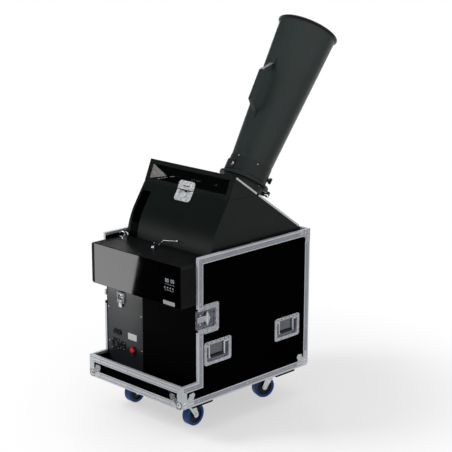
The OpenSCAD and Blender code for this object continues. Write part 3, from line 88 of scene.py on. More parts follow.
def radial(angle, h, r):
    """On the barrel's outside: h along its axis, r from the axis, z pointing outwards."""
    return BARREL @ rot("Z", angle) @ shift(0, 0, h) @ rot("Y", 90) @ shift(0, 0, r)


def on_circle(r, k, sides):
    a = 2 * math.pi * k / sides
    return r * math.cos(a), r * math.sin(a)


def ring_faces(rings, sides):
    """The faces that join rings of points, with a cap at each end."""
    faces = [list(range(sides))[::-1], [(rings - 1) * sides + k for k in range(sides)]]
    for i in range(rings - 1):
        a, b = i * sides, (i + 1) * sides
        faces += [[a + k, a + (k + 1) % sides, b + (k + 1) % sides, b + k] for k in range(sides)]
    return faces


# Mesh building
CORNER_POINTS = 6
# A direction that no wire runs along
ASIDE = Vector((0.31, 0.17, 0.93))


class Shape:
    """Points and faces, given in case millimetres and kept in metres of the frame."""

    def __init__(self):
        self.verts, self.faces, self.smooth = [], [], []

    def add(self, m, verts, faces, smooth=False):
        first = len(self.verts)
        flip = m.to_3x3().determinant() < 0
        self.verts += [ROW @ m @ Vector(v) for v in verts]
        for f in faces:
            f = [first + i for i in f]
            self.faces.append(f[::-1] if flip else f)
            self.smooth.append(smooth)

    def block(self, m, low, high, bevel=0.0):
        """A box with its upright edges cut by bevel and its top edges by half of that."""
        (x0, y0, z0), (x1, y1, z1) = low, high
        b = min(bevel, (x1 - x0) / 2.1, (y1 - y0) / 2.1)
        outline = [(x0, y0), (x1, y0), (x1, y1), (x0, y1)]
        if b:
            outline = [(x0 + b, y0), (x1 - b, y0), (x1, y0 + b), (x1, y1 - b),
                       (x1 - b, y1), (x0 + b, y1), (x0, y1 - b), (x0, y0 + b)]
        self.prism(m, outline, z0, z1, bevel * 0.5)

    def prism(self, m, outline, z0, z1, chamfer=0.0):
        """An outline raised from z0 to z1, its top drawn in towards the middle by chamfer."""
        n = len(outline)
        cx = sum(p[0] for p in outline) / n
        cy = sum(p[1] for p in outline) / n
        verts = [(x, y, z0) for x, y in outline] + [(x, y, z1 - chamfer) for x, y in outline]
        if chamfer:
            for x, y in outline:
                inward = chamfer / (math.hypot(x - cx, y - cy) or 1.0)
                verts.append((x - (x - cx) * inward, y - (y - cy) * inward, z1))
        self.add(m, verts, ring_faces(len(verts) // n, n))

    def lathe(self, m, profile, sides=20, smooth=True):
        """Pairs of radius and height turned about z."""
        verts = [on_circle(r, k, sides) + (z,) for r, z in profile for k in range(sides)]
        self.add(m, verts, ring_faces(len(profile), sides), smooth)

    def coil(self, m, points, radius, sides=6):
        """A round wire along points."""
        pts = [Vector(p) for p in points]
        verts = []
        for i, p in enumerate(pts):
            d = (pts[min(i + 1, len(pts) - 1)] - pts[max(i - 1, 0)]).normalized()
            u = d.cross(ASIDE).normalized()
            w = d.cross(u)
            for k in range(sides):
                along_u, along_w = on_circle(radius, k, sides)
                verts.append(p + along_u * u + along_w * w)
        self.add(m, verts, ring_faces(len(pts), sides), True)

    def rivet(self, m, x, y, r=3.0, h=1.3, z=0.0):
        profile = [(r, -0.4), (r, 0.15), (r * 0.86, h * 0.62), (r * 0.5, h * 0.92), (r * 0.12, h)]
        self.lathe(m @ shift(x, y, z), profile, 14)

    def screw(self, m, x, y, r=3.2, h=1.6, z=0.0, turn=20):
        """Pan head with a cross recess."""
        at = m @ shift(x, y, z)
        self.lathe(at, [(r, -0.3), (r, h * 0.5), (r * 0.8, h), (r * 0.72, h), (r * 0.6, h * 0.7)], 18)
        for a in (turn, turn + 90):
            low, high = (-r * 0.5, -r * 0.1, h * 0.4), (r * 0.5, r * 0.1, h * 0.86)
            self.block(at @ rot("Z", a), low, high)

    def done(self, name, body, material, slot):
        mesh = bpy.data.meshes.new(name)
        mesh.from_pydata([tuple(v) for v in self.verts], [], self.faces)
        mesh.polygons.foreach_set("use_smooth", self.smooth)
        mesh.update()
        obj = bpy.data.objects.new(name, mesh)
        bpy.context.scene.collection.objects.link(obj)
        obj.data.materials.append(M[material])
        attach(obj, body)


def rounded(w, h, r, at):
    """Outline of a plate with rounded corners."""
    pts = []
    for sx, sy, start in ((1, 1, 0), (-1, 1, 90), (-1, -1, 180), (1, -1, 270)):
        for k in range(CORNER_POINTS):
            a = math.radians(start + 90 * k / (CORNER_POINTS - 1))
            pts.append((at[0] + sx * (w / 2 - r) + r * math.cos(a),
                        at[1] + sy * (h / 2 - r) + r * math.sin(a)))
    return pts


# Materials

def rgb(code):
    """A web colour as linear red, green, blue and alpha."""
    c = [int(code[i:i + 2], 16) / 255 for i in (1, 3, 5)]
    return tuple(v / 12.92 if v <= 0.04045 else ((v + 0.055) / 1.055) ** 2.4 for v in c) + (1.0,)


GRAIN_DEPTH, NOISE_ROUGH, COAT_ROUGH = 0.0006, 0.6, 0.06
# Where noise starts and stops counting: clouds of colour, clouds of gloss, rubbed places
CLOUD_SPAN, GLOSS_SPAN, WORN_SPAN, SPECK_SPAN = (0.3, 0.7), (0.25, 0.75), (0.42, 0.62), 0.06
GLOSS_FINER, WORN_SCALE = 2.3, 60
# Cosine between the true and the rounded normal: on the flat, and on an edge
ON_FLAT, ON_EDGE = 0.999, 0.93
# Distances from the middle plane between which the pans of the side dishes lie, and their ribs
PAN_X, RIB_PITCH, RIB_SPAN = (0.2835, 0.2890), 0.0045, (-0.2, 0.6)
# Painted shade for the stripes between the pans' painted ribs
RIB_SHADE = "#50525a"


class Look:
    """A node material: grain in the normal, clouding in colour and roughness, rubbed edges."""

    def __init__(self, name, color, rough, metal=0.0, spec=0.5, coat=0.0):
        self.name = name
        self.mat = bpy.data.materials.new(name)
        self.mat.use_nodes = True
        self.nt = self.mat.node_tree
        self.bsdf = next(n for n in self.nt.nodes if n.type == "BSDF_PRINCIPLED")
        self.bsdf.inputs["Metallic"].default_value = metal
        self.bsdf.inputs["Specular IOR Level"].default_value = spec
        self.bsdf.inputs["Coat Weight"].default_value = coat
        self.bsdf.inputs["Coat Roughness"].default_value = COAT_ROUGH
        self.coords = self.node("ShaderNodeTexCoord").outputs["Object"]
        self.color, self.rough = rgb(color), rough
        self.mat.diffuse_color = self.color

    def node(self, kind, **values):
        n = self.nt.nodes.new(kind)
        for key, value in values.items():
            if hasattr(n, key):
                setattr(n, key, value)
            else:
                n.inputs[key].default_value = value
        return n

    def link(self, a, b):
        self.nt.links.new(a, b)

    def math(self, operation, a, b):
        n = self.node("ShaderNodeMath", operation=operation)
        self.link(a, n.inputs[0])
        if isinstance(b, float):
            n.inputs[1].default_value = b
        else:
            self.link(b, n.inputs[1])
        return n.outputs[0]

    def axis(self, which):
        split = self.node("ShaderNodeSeparateXYZ")
        self.link(self.coords, split.inputs[0])
        return split.outputs[which]

    def noise(self, scale, stretch, detail, turn=(0, 0, 0)):
        m = self.node("ShaderNodeMapping")
        m.inputs["Scale"].default_value = stretch
        m.inputs["Rotation"].default_value = [math.radians(a) for a in turn]
        self.link(self.coords, m.inputs["Vector"])
        n = self.node("ShaderNodeTexNoise", Scale=scale, Detail=detail, Roughness=NOISE_ROUGH)
        self.link(m.outputs[0], n.inputs["Vector"])
        return n.outputs["Fac"]

    def ramp(self, source, low, high, to_low=0.0, to_high=1.0):
        n = self.node("ShaderNodeMapRange", clamp=True)
        for key, value in zip(("From Min", "From Max", "To Min", "To Max"), (low, high, to_low, to_high)):
            n.inputs[key].default_value = value
        self.link(source, n.inputs["Value"])
        return n.outputs[0]

    def mix(self, factor, a, b):
        n = self.node("ShaderNodeMix", data_type="RGBA")
        self.link(factor, n.inputs[0])
        for value, socket in ((a, n.inputs[6]), (b, n.inputs[7])):
            if isinstance(value, tuple):
                socket.default_value = value
            else:
                self.link(value, socket)
        return n.outputs[2]

    def cloud(self, amount, scale, span):
        """Lets the colour wander by a share of itself, and the roughness by a span."""
        fac = self.ramp(self.noise(scale, EVEN, 4.0), *CLOUD_SPAN)
        dark = tuple(v * (1 - amount) for v in self.color[:3]) + (1.0,)
        light = tuple(min(1.0, v * (1 + amount)) for v in self.color[:3]) + (1.0,)
        self.color_out = self.mix(fac, dark, light)
        soft = self.noise(scale * GLOSS_FINER, EVEN, 4.0)
        self.rough_out = self.ramp(soft, *GLOSS_SPAN, self.rough - span, self.rough + span)
        return self

    def grain(self, scale, strength, stretch=EVEN):
        """A fine relief in the normal."""
        self.relief = self.node("ShaderNodeBump", Strength=strength, Distance=GRAIN_DEPTH)
        self.link(self.noise(scale, stretch, 2.0), self.relief.inputs["Height"])
        return self

    def edges(self, color, radius, amount):
        """Rounds sharp edges in the shading and rubs them lighter in places."""
        bevel = self.node("ShaderNodeBevel", Radius=radius)
        bevel.samples = 4
        geometry = self.node("ShaderNodeNewGeometry")
        dot = self.node("ShaderNodeVectorMath", operation="DOT_PRODUCT")
        self.link(bevel.outputs[0], dot.inputs[0])
        self.link(geometry.outputs["True Normal"], dot.inputs[1])
        near = self.ramp(dot.outputs["Value"], ON_FLAT, ON_EDGE)
        worn = self.ramp(self.noise(WORN_SCALE, EVEN, 5.0), *WORN_SPAN)
        rubbed = self.math("MULTIPLY", self.math("MULTIPLY", near, worn), amount)
        self.color_out = self.mix(rubbed, self.color_out, rgb(color))
        self.link(bevel.outputs[0], self.relief.inputs["Normal"])
        return self

    def recess(self, color):
        """Painted shade down in the pans of the side dishes: a darker grey with painted stripes of rib
        shade.
        """
        wave = self.node("ShaderNodeMath", operation="SINE")
        self.link(self.math("MULTIPLY", self.axis(2), 2 * math.pi / RIB_PITCH), wave.inputs[0])
        step = self.node("ShaderNodeMapRange")
        self.link(wave.outputs[0], step.inputs["Value"])
        step.inputs["From Min"].default_value, step.inputs["From Max"].default_value = RIB_SPAN
        ribbed = self.mix(step.outputs[0], rgb(RIB_SHADE), rgb(color))
        away = self.node("ShaderNodeMath", operation="ABSOLUTE")
        self.link(self.axis(0), away.inputs[0])
        past = self.math("GREATER_THAN", away.outputs[0], PAN_X[0])
        short = self.math("LESS_THAN", away.outputs[0], PAN_X[1])
        self.color_out = self.mix(self.math("MULTIPLY", past, short), self.color_out, ribbed)
        return self

    def specks(self, color, scale, cut, amount, stretch=EVEN, turn=(0, 0, 0)):
        """Fine scratches or dust where a stretched noise peaks."""
        peaks = self.ramp(self.noise(scale, stretch, 3.0, turn), cut, cut + SPECK_SPAN, 0.0, amount)
        self.color_out = self.mix(peaks, self.color_out, rgb(color))
        return self

    def glow(self, color, strength):
        self.bsdf.inputs["Emission Color"].default_value = color
        self.bsdf.inputs["Emission Strength"].default_value = strength
        return self

    def done(self):
        self.link(self.color_out, self.bsdf.inputs["Base Color"])
        self.link(self.rough_out, self.bsdf.inputs["Roughness"])
        self.link(self.relief.outputs[0], self.bsdf.inputs["Normal"])
        return self.mat


HUB_R, HUB_BLEND = 0.0372, 0.0006


def wheel_look(name, centre, axis):
    """Blue tread outside, black moulded hub inside, by the distance from the axle."""
    k = Look(name, "#0a3f78", 0.38, spec=0.2).cloud(0.12, 30, 0.06)
    away = k.node("ShaderNodeVectorMath", operation="SUBTRACT")
    k.link(k.coords, away.inputs[0])
    away.inputs[1].default_value = centre
    cross = k.node("ShaderNodeVectorMath", operation="CROSS_PRODUCT")
    k.link(away.outputs[0], cross.inputs[0])
    cross.inputs[1].default_value = axis
    length = k.node("ShaderNodeVectorMath", operation="LENGTH")
    k.link(cross.outputs[0], length.inputs[0])
    hub = k.ramp(length.outputs["Value"], HUB_R, HUB_R - HUB_BLEND)
    k.color_out = k.mix(hub, k.color_out, rgb("#090a0b"))
    return k.grain(900, 0.25).specks("#6a7688", 220, 0.66, 0.35).done()


LOOKS = [
    Look("laminate", "#030304", 0.6, spec=0.0).cloud(0.3, 5, 0.06).grain(1400, 0.3)
    .specks("#17181a", 90, 0.76, 0.25, (1, 6, 1)),
    Look("edging", "#d4d7dc", 0.36, metal=0.45, spec=0.4).cloud(0.05, 14, 0.05)
    .grain(500, 0.10, (1, 0.06, 1)).specks("#8b8f95", 160, 0.70, 0.3, (1, 0.3, 5))
    .edges("#f4f5f7", 0.0008, 0.8),
    # Darker grey for the middle of the side rails: painted shade
    Look("edge_band_shade", "#a2a5b0", 0.34, metal=0.5).cloud(0.05, 14, 0.05).grain(500, 0.10, (1, 0.06, 1)),
    # Darker grey for the grooves in the edging: painted shade
    Look("groove", "#5b5e66", 0.5, metal=0.3).cloud(0.1, 14, 0.05).grain(500, 0.10),
    # The zinc is drawn darker in the pans of the side dishes: painted shade
    Look("zinc", "#cdd0d6", 0.26, metal=1.0).cloud(0.22, 60, 0.09).grain(700, 0.10).recess("#a3a6ae")
    .edges("#f5f6f7", 0.0008, 0.7),
    Look("chrome", "#dfe2e6", 0.10, metal=1.0).cloud(0.05, 60, 0.04).grain(500, 0.03),
    Look("housing", "#08090a", 0.36, spec=0.12).cloud(0.2, 9, 0.05).grain(1100, 0.35)
    .edges("#34373a", 0.001, 0.5),
    Look("gloss_black", "#020203", 0.5, spec=0.03).cloud(0.2, 8, 0.03).grain(900, 0.06)
    .edges("#17181a", 0.001, 0.2),
    Look("ball", "#d3d6da", 0.26, metal=0.85).cloud(0.06, 40, 0.05).grain(600, 0.10)
    .edges("#ffffff", 0.0009, 0.6),
    Look("dish", "#dcdfe3", 0.30, metal=0.5).cloud(0.34, 90, 0.10).grain(600, 0.12)
    .edges("#e4e6e8", 0.0009, 0.7),
    # Pale grey for the mesh wires painted as lit
    Look("mesh_painted_light", "#8d8b86", 0.5, spec=0.2).cloud(0.2, 60, 0.06).grain(1800, 0.3),
    Look("plate", "#202224", 0.16, spec=0.6).cloud(0.12, 8, 0.03).grain(900, 0.05, (0.2, 1, 1))
    .edges("#6b6e70", 0.001, 0.5),
    Look("acrylic", "#020203", 0.035, spec=0.5).cloud(0.2, 5, 0.012).grain(3, 0.02)
    .specks("#1c1e22", 60, 0.76, 0.2, (1, 1, 5)),
    Look("window", "#010101", 0.06, spec=0.02).cloud(0.2, 6, 0.015).grain(4, 0.02),
    Look("display", "#0c0d0f", 0.08, spec=0.4).cloud(0.15, 20, 0.02).grain(900, 0.05),
    Look("digits", "#b4babd", 0.4).cloud(0.06, 300, 0.05).grain(2500, 0.1)
    .glow((0.86, 0.93, 1.0, 1.0), 0.12),
    Look("key", "#8f9294", 0.40).cloud(0.06, 200, 0.06).grain(2500, 0.2),
    Look("stop", "#c8101c", 0.25, coat=0.3).cloud(0.12, 90, 0.06).grain(1500, 0.08),
    Look("socket", "#0c0d0e", 0.4, spec=0.3).cloud(0.15, 60, 0.07).grain(2200, 0.4)
    .edges("#2c2e31", 0.0006, 0.5),
    Look("hood_paint", "#0c1110", 0.34, spec=0.3).cloud(0.16, 6, 0.04).grain(1300, 0.35)
    .edges("#2f3534", 0.001, 0.4).specks("#131716", 160, 0.76, 0.3, (1, 5, 1)),
    Look("mesh", "#060707", 0.6, spec=0.02).cloud(0.2, 60, 0.06).grain(1800, 0.3),
    Look("barrel_paint", "#252c2b", 0.40, spec=0.30).cloud(0.10, 5, 0.05).grain(1500, 0.5)
    .edges("#59605f", 0.001, 0.5).specks("#353b3a", 140, 0.74, 0.3, (1, 1, 0.15), (-TILT, 0, 0)),
    Look("collar_paint", "#1d2222", 0.46, spec=0.30).cloud(0.12, 9, 0.05).grain(1500, 0.5)
    .edges("#6a7170", 0.0016, 0.7),
    Look("black_trim", "#0a0b0b", 0.42, spec=0.3).cloud(0.2, 50, 0.07).grain(1800, 0.35),
    Look("funnel", "#5a5d60", 0.38, metal=0.9).cloud(0.12, 12, 0.08).grain(600, 0.15, (0.1, 1, 1)),
    Look("roller", "#b4b7bb", 0.3, metal=1.0).cloud(0.10, 30, 0.08).grain(600, 0.12, (0.1, 1, 1)),
    Look("motor", "#4a4e52", 0.5, metal=0.4).cloud(0.15, 30, 0.08).grain(700, 0.5),
    Look("impeller", "#9ea2a6", 0.38, metal=1.0).cloud(0.10, 20, 0.08).grain(500, 0.2),
    Look("board", "#245a38", 0.45).cloud(0.25, 120, 0.08).grain(1500, 0.4),
    Look("label", "#8f9191", 0.42).cloud(0.05, 60, 0.06).grain(1200, 0.15),
    Look("tag", "#b9bbbb", 0.42).cloud(0.05, 60, 0.06).grain(1200, 0.15),
    Look("ink", "#a4a7a9", 0.5).cloud(0.08, 200, 0.06).grain(2500, 0.1),
]
M = {look.name: look.done() for look in LOOKS}

# Nodes whose look isn't the one named after their material slot
OWN_LOOK = {"ball_corners": "ball", "hood_latch_dish": "dish", "hood_latch_wing": "dish",
            "lid_keeper": "dish", "cabinet": "gloss_black", "swivel_collar": "collar_paint",
            "deck_flange": "collar_paint"}
slots = {s["node"]: s["material_slot"] for s in frame["record"]["subparts"]}
joints = {j["child"]: j for j in frame["record"]["behaviour"]["joints"]}
for node, obj in frame["nodes"].items():
    slot = slots[node]
    if slot == "tread":
        corner = node[-2:]
        j = joints["wheel_" + corner]
        material = wheel_look("tread_" + corner, tuple(j["pos_m"]), tuple(j["axis"]))
    else:
        material = M[OWN_LOOK.get(node, slot)]
    for s in obj.material_slots:
        s.material = material
    if not obj.material_slots:
        obj.data.materials.append(material)

# Rivets along the edging
EDGE_MID, HANDLE_Z, LATCH_Z, LATCH_HALF = 16.0, 215.0, 373.0, 56.0
RISER_RIVETS = (130, 190, 250, 300, 446, 500, 560, 630)
FRONT, BACK = facing_front(-HALF_D), facing_back(HALF_D)


def spaced(a, b, pitch):
    n = max(1, round((b - a) / pitch))
    return [a + (b - a) * i / n for i in range(n + 1)]


POST_RIVETS = spaced(90, CASE_H - 70, 105)
rivets = Shape()
for right in BOTH:
    side = on_side(right)
    places = [(y, EDGE_MID) for y in spaced(-300, 300, 100)]
    places += [(y, CASE_H - EDGE_MID) for y in spaced(RISER_Y + 46, HALF_D - 70, 105)]
    places += [(y, TRAY_H - EDGE_MID) for y in spaced(-HALF_D + 20, RISER_Y - 14, 62)]
    places += [(RISER_Y + EDGE_MID, z) for z in RISER_RIVETS]
    places += [(HALF_D - EDGE_MID, z) for z in POST_RIVETS]
    for y, z in places:
        rivets.rivet(side, y, z)
for m, top in ((FRONT, TRAY_H), (BACK, CASE_H)):
    for z in (EDGE_MID, top - EDGE_MID):
        for x in spaced(-225, 225, 90):
            rivets.rivet(m, x, z)
for s in (-1, 1):
    for z in POST_RIVETS:
        rivets.rivet(BACK, s * (HALF_W - EDGE_MID), z)
rivets.done("edging_rivets", "base", "zinc", "zinc")

# Grooves that run along the edging, one near its outer edge and one near its inner edge, drawn as thin
# strips of darker grey: painted shade of the grooves
GROOVE_H, GROOVE_Z = 0.8, (0.02, 0.12)
grooves = Shape()


def groove(m, y0, y1, z0, z1):
    grooves.block(m, (y0, z0, GROOVE_Z[0]), (y1, z1, GROOVE_Z[1]))


for off in (9.0, 24.0):
    for right in BOTH:
        side = on_side(right)
        for y0, y1, z in ((-HALF_D + 40, HALF_D - 40, off), (RISER_Y + off, HALF_D - 60, CASE_H - off),
                          (-HALF_D + 12, RISER_Y + off, TRAY_H - off)):
            groove(side, y0, y1, z - GROOVE_H, z + GROOVE_H)
        for y, z0, z1 in ((RISER_Y + off, TRAY_H - off, LATCH_Z - LATCH_HALF),
                          (RISER_Y + off, LATCH_Z + LATCH_HALF, CASE_H - off),
                          (HALF_D - off, 40, CASE_H - 60)):
            groove(side, y - GROOVE_H, y + GROOVE_H, z0, z1)
    for m, z in ((FRONT, TRAY_H - off), (BACK, CASE_H - off), (FRONT, off), (BACK, off)):
        end = HALF_W - 60 if z < EDGE_MID * 2 else HALF_W - off
        groove(m, -end, end, z - GROOVE_H, z + GROOVE_H)
grooves.done("edging_grooves", "base", "groove", "edging")

# The middle of the extrusion on the two sides drawn in a darker grey, painted shade of the side-facing
# rails, clear of the ball corners and the top brackets
NEAR, FAR, BAND_Z = 9.8, 23.2, (0.02, 0.07)
BALL_L, BRACKET_L = 72, 62
bands = Shape()
for right in BOTH:
    side = on_side(right)
    for y0, y1, z0, z1 in ((-HALF_D + BALL_L, HALF_D - BALL_L, NEAR, FAR),
                           (RISER_Y + NEAR, HALF_D - BRACKET_L, CASE_H - FAR, CASE_H - NEAR),
                           (-HALF_D + 12, RISER_Y + FAR, TRAY_H - FAR, TRAY_H - NEAR),
                           (RISER_Y + NEAR, RISER_Y + FAR, TRAY_H - NEAR, LATCH_Z - LATCH_HALF),
                           (RISER_Y + NEAR, RISER_Y + FAR, LATCH_Z + LATCH_HALF, CASE_H - FAR),
                           (HALF_D - FAR, HALF_D - NEAR, BALL_L, CASE_H - BRACKET_L)):
        bands.block(side, (y0, z0, BAND_Z[0]), (y1, z1, BAND_Z[1]))
bands.done("edging_band_shade", "base", "edge_band_shade", "edging")

# Rivets on the leaves of the ball corners, and brackets at the upper back corners
LEAF_RIVETS = ((66, 45.0), (52, 36.0), (58, 55.8))
leaf_rivets = Shape()
for x in (-1, 1):
    for face, mirror, end in ((FRONT, x, -1), (BACK, -x, 1)):
        for a, z in LEAF_RIVETS:
            leaf_rivets.rivet(face, mirror * (HALF_W - a), z, 2.6, 1.2, 1.5)
            leaf_rivets.rivet(on_side(x > 0), end * (HALF_D - a), z, 2.6, 1.2, 1.5)
leaf_rivets.done("corner_rivets", "base", "chrome", "zinc")

# Outline and rivets of a bracket, measured inwards from the case's upper back corner
BRACKET = ((1, 54), (8, 60), (26, 60), (30, 52), (34, 34), (52, 30), (60, 26), (60, 8), (54, 1), (1, 1))
BRACKET_RIVETS = ((52, 14), (32, 14), (14, 14), (14, 32), (14, 52))
brackets, bracket_rivets = Shape(), Shape()
for right in BOTH:
    side = on_side(right)
    brackets.prism(side, [(HALF_D - y, CASE_H - z) for y, z in BRACKET], 0.02, 1.6, 0.5)
    for y, z in BRACKET_RIVETS:
        bracket_rivets.rivet(side, HALF_D - y, CASE_H - z, 2.8, 1.3, 1.6)
brackets.done("top_corner_brackets", "base", "ball", "zinc")
bracket_rivets.done("top_bracket_rivets", "base", "chrome", "zinc")

# Recessed handles: holes along the top of the dish, drawn as black discs of painted shade, rivets, springs
# round the hinge rod, ribbed grip
FACE_X = -2.0
HANDLES = (("f", -185.0), ("b", 256.0))
HOLES, HOLE_PITCH, HOLE_UP = 6, 25.0, 46.0
CORNER_RIVET = (74.5, -44.5)
ROD_UP, ROD_IN, GRIP_DOWN = 31, -8, 53
COIL_IN, COIL_R, COIL_PITCH, COIL_STEP, COIL_POINTS, WIRE_R = 48, 5.1, 0.27, 0.55, 56, 0.8
RIBS, RIB_L, GRIP_HALF, GRIP_R = 27, 3, 39, (5.9, 5.6)
LATCH_RIVETS = ((115, 53), (115, -53), (62, 55), (62, -55), (8, 46), (8, -46))
dish, holes = Shape(), Shape()
for right in BOTH:
    side = on_side(right)
    for _, y in HANDLES:
        for i in range(HOLES):
            x = y + (i - (HOLES - 1) / 2) * HOLE_PITCH
            dish.rivet(side, x, HANDLE_Z + HOLE_UP, 4.6, 0.6, FACE_X + 1.5)
            holes.rivet(side, x, HANDLE_Z + HOLE_UP, 3.3, 0.3, FACE_X + 2.0)
        for s in (-1, 1):
            dish.rivet(side, y + s * CORNER_RIVET[0], HANDLE_Z + CORNER_RIVET[1], 2.1, 0.9, FACE_X + 0.4)
            spring = [(y + s * (COIL_IN + k * COIL_PITCH),
                       HANDLE_Z + ROD_UP + COIL_R * math.cos(k * COIL_STEP),
                       ROD_IN + COIL_R * math.sin(k * COIL_STEP)) for k in range(COIL_POINTS)]
            dish.coil(side, spring, WIRE_R)
    for x, z in LATCH_RIVETS:
        dish.rivet(side, RISER_Y + x, LATCH_Z + z, 2.2, 1.0, FACE_X + 0.5)
dish.done("dish_rivets", "base", "chrome", "zinc")
holes.done("dish_holes", "base", "black_trim", "black_trim")
for right in BOTH:
    for tag, y in HANDLES:
        name = ("r" if right else "l") + tag
        grip = Shape()
        at = on_side(right) @ shift(y, HANDLE_Z + ROD_UP - GRIP_DOWN, ROD_IN) @ rot("Y", 90)
        grip.lathe(at, [(GRIP_R[k % 2], -GRIP_HALF + RIB_L * k) for k in range(RIBS)], 20)
        grip.done("handle_grip_" + name, "handle_" + name, "black_trim", "black_trim")

# Side latches: hook with its turned-up end, guide pins and rails, and a washer under the wing
PAN_IN = -12.4
for right in BOTH:
    hook = Shape()
    side = on_side(right) @ shift(RISER_Y + 60, LATCH_Z, FACE_X)
    hook.block(side, (-58, -10, -5.4), (-14, 10, -3.9), 2)
    hook.block(side, (-61.5, -12, -5.4), (-57, 12, 1.2), 1)
    for s in (-1, 1):
        hook.lathe(side @ shift(-40, s * 20, PAN_IN), [(3.4, 0), (3.4, 7.2), (2.4, 8.2), (0.5, 8.4)], 16)
        hook.block(side, (14, s * 16 - 3, PAN_IN), (40, s * 16 + 3, PAN_IN + 2.8), 1)
    hook.lathe(side, [(9.5, -5.5), (9.5, -5.3), (7.5, -5.25)], 24)
    hook.done("latch_hook_" + ("right" if right else "left"), "base", "zinc", "zinc")

# Latch on the hood and its keeper on the lid
HOOD_RIVETS = ((-42, -8), (42, -8), (-42, -34), (42, -34), (-28, -46), (28, -46), (0, -46.5))
KEEPER_RIVETS = ((-42, 8), (42, 8), (-42, 24), (42, 24), (-26, 34.5), (26, 34.5), (0, 34.5))
hood = Shape()
for x, y in HOOD_RIVETS:
    hood.rivet(on_front(), x, y, 2.2, 1.0, 1.5)
hood.block(on_front(), (-9, -8, -6), (9, 8, -4.6), 2)
hood.done("hood_latch_rivets", "base", "chrome", "zinc")
keeper, backing = Shape(), Shape()
lid_front = on_lid_front(0)
for x, y in KEEPER_RIVETS:
    keeper.rivet(lid_front, x, y, 2.2, 1.0, 2.5)
keeper.block(lid_front, (-22, 16, 0.1), (22, 19, 4.5), 1)
keeper.done("keeper_rivets", "lid", "chrome", "zinc")
backing.block(lid_front, (-30.5, 1.6, 0.05), (30.5, 22.5, 0.5), 0.5)
for y in (5.5, 11.0):
    backing.block(lid_front, (-26, y, 0.4), (26, y + 2.4, 1.3), 0.6)
backing.done("keeper_backing", "lid", "dish", "zinc")

# Wires of the lid's mesh, and pale wires over one corner of it: painted light where that corner catches the
# light
GRILLE_W, GRILLE_H, GRILLE_MID, GRILLE_IN = 478.0, 66.0, 51.0, -1.9
PITCH, WIRE_HALF, LIT_HALF = 4.4, 0.5, 0.7
# Reach and tip of the painted light over the mesh's corner
LIT_L, LIT_TIP = 101.0, -9.0
HALF_GW, HALF_GH = GRILLE_W / 2, GRILLE_H / 2
wires, lit = Shape(), Shape()
g = on_lid_front(GRILLE_MID) @ shift(0, 0, GRILLE_IN)
for i in range(int(GRILLE_W / PITCH) + 1):
    x = -HALF_GW + i * PITCH
    wires.block(g, (x - WIRE_HALF, -HALF_GH, 0), (x + WIRE_HALF, HALF_GH, 0.9))
    t = i * PITCH / LIT_L
    if t < 1:
        tip, reach = LIT_TIP * t, HALF_GH * (1 - t)
        lit.block(g, (x - LIT_HALF, tip - reach, 0.95), (x + LIT_HALF, tip + reach, 1.3))
for i in range(int(GRILLE_H / PITCH) + 1):
    y = -HALF_GH + i * PITCH
    wires.block(g, (-HALF_GW, y - WIRE_HALF, 0.3), (HALF_GW, y + WIRE_HALF, 1.2))
    away = abs(y - LIT_TIP) / (HALF_GH + (-LIT_TIP if y > LIT_TIP else LIT_TIP))
    if away < 0.97:
        end = -HALF_GW + LIT_L * (1 - away)
        lit.block(g, (-HALF_GW, y - LIT_HALF, 1.25), (end, y + LIT_HALF, 1.6))
wires.done("lid_mesh_wires", "lid", "mesh", "mesh")
lit.done("lid_mesh_painted_light", "lid", "mesh_painted_light", "mesh")

# Digits, lines and bare labels of the control panel
panel, plate = facing_front(PANEL_FACE), facing_front(PLATE_Y)
SEGMENTS = {"0": "abcdef", "5": "afgcd", "8": "abcdefg"}
DIGIT_W, DIGIT_H, DIGIT_PITCH, BAR, BAR_GAP = 8.0, 14.5, 11.0, 1.7, 0.15
digits, lines = Shape(), Shape()


def digit(x, z, char):
    """One figure of seven bars, a to g from the top round to the middle."""
    w, h, t = DIGIT_W, DIGIT_H, BAR
    bars = {"a": (0, h - t, w, h), "g": (0, h / 2 - t / 2, w, h / 2 + t / 2), "d": (0, 0, w, t),
            "f": (0, h / 2, t, h), "b": (w - t, h / 2, w, h),
            "e": (0, 0, t, h / 2), "c": (w - t, 0, w, h / 2)}
    for s in SEGMENTS[char]:
        x0, z0, x1, z1 = bars[s]
        low, high = (x + x0 + BAR_GAP, z + z0 + BAR_GAP, 0.02), (x + x1 - BAR_GAP, z + z1 - BAR_GAP, 0.25)
        digits.block(panel, low, high, 0.2)


for text, x, z in (("80", 190, 543), ("05", 223, 544)):
    for k, char in enumerate(text):
        digit(x + k * DIGIT_PITCH, z, char)
digits.done("display_digits", "base", "digits", "display")

KEY_PITCH = 16.5
key_marks = [(186 + i * KEY_PITCH, 191 + i * KEY_PITCH, 511.2, 512.2) for i in range(4)]
for x0, x1, z0, z1 in [(187, 246, 533.6, 534.5), (186, 240, 507.6, 508.4)] + key_marks:
    lines.block(panel, (x0, z0, 0.02), (x1, z1, 0.14))
lines.done("panel_lines", "base", "ink", "key")
tag, plate_tag, band = Shape(), Shape(), Shape()
tag.prism(panel, rounded(71, 17, 2.0, (211, 453)), 0.02, 0.5, 0.2)
tag.done("panel_tag", "base", "label", "key")
plate_tag.prism(plate, rounded(58, 30, 2.5, (-119.5, 200.5)), 0.05, 0.7, 0.3)
plate_tag.done("connector_tag", "base", "tag", "key")
band.block(panel, (-277.4, LEDGE_Z - 181.5, 0.02), (-267.5, LEDGE_Z - 2.5, 0.3), 0.2)
band.done("panel_end_band", "base", "black_trim", "housing")

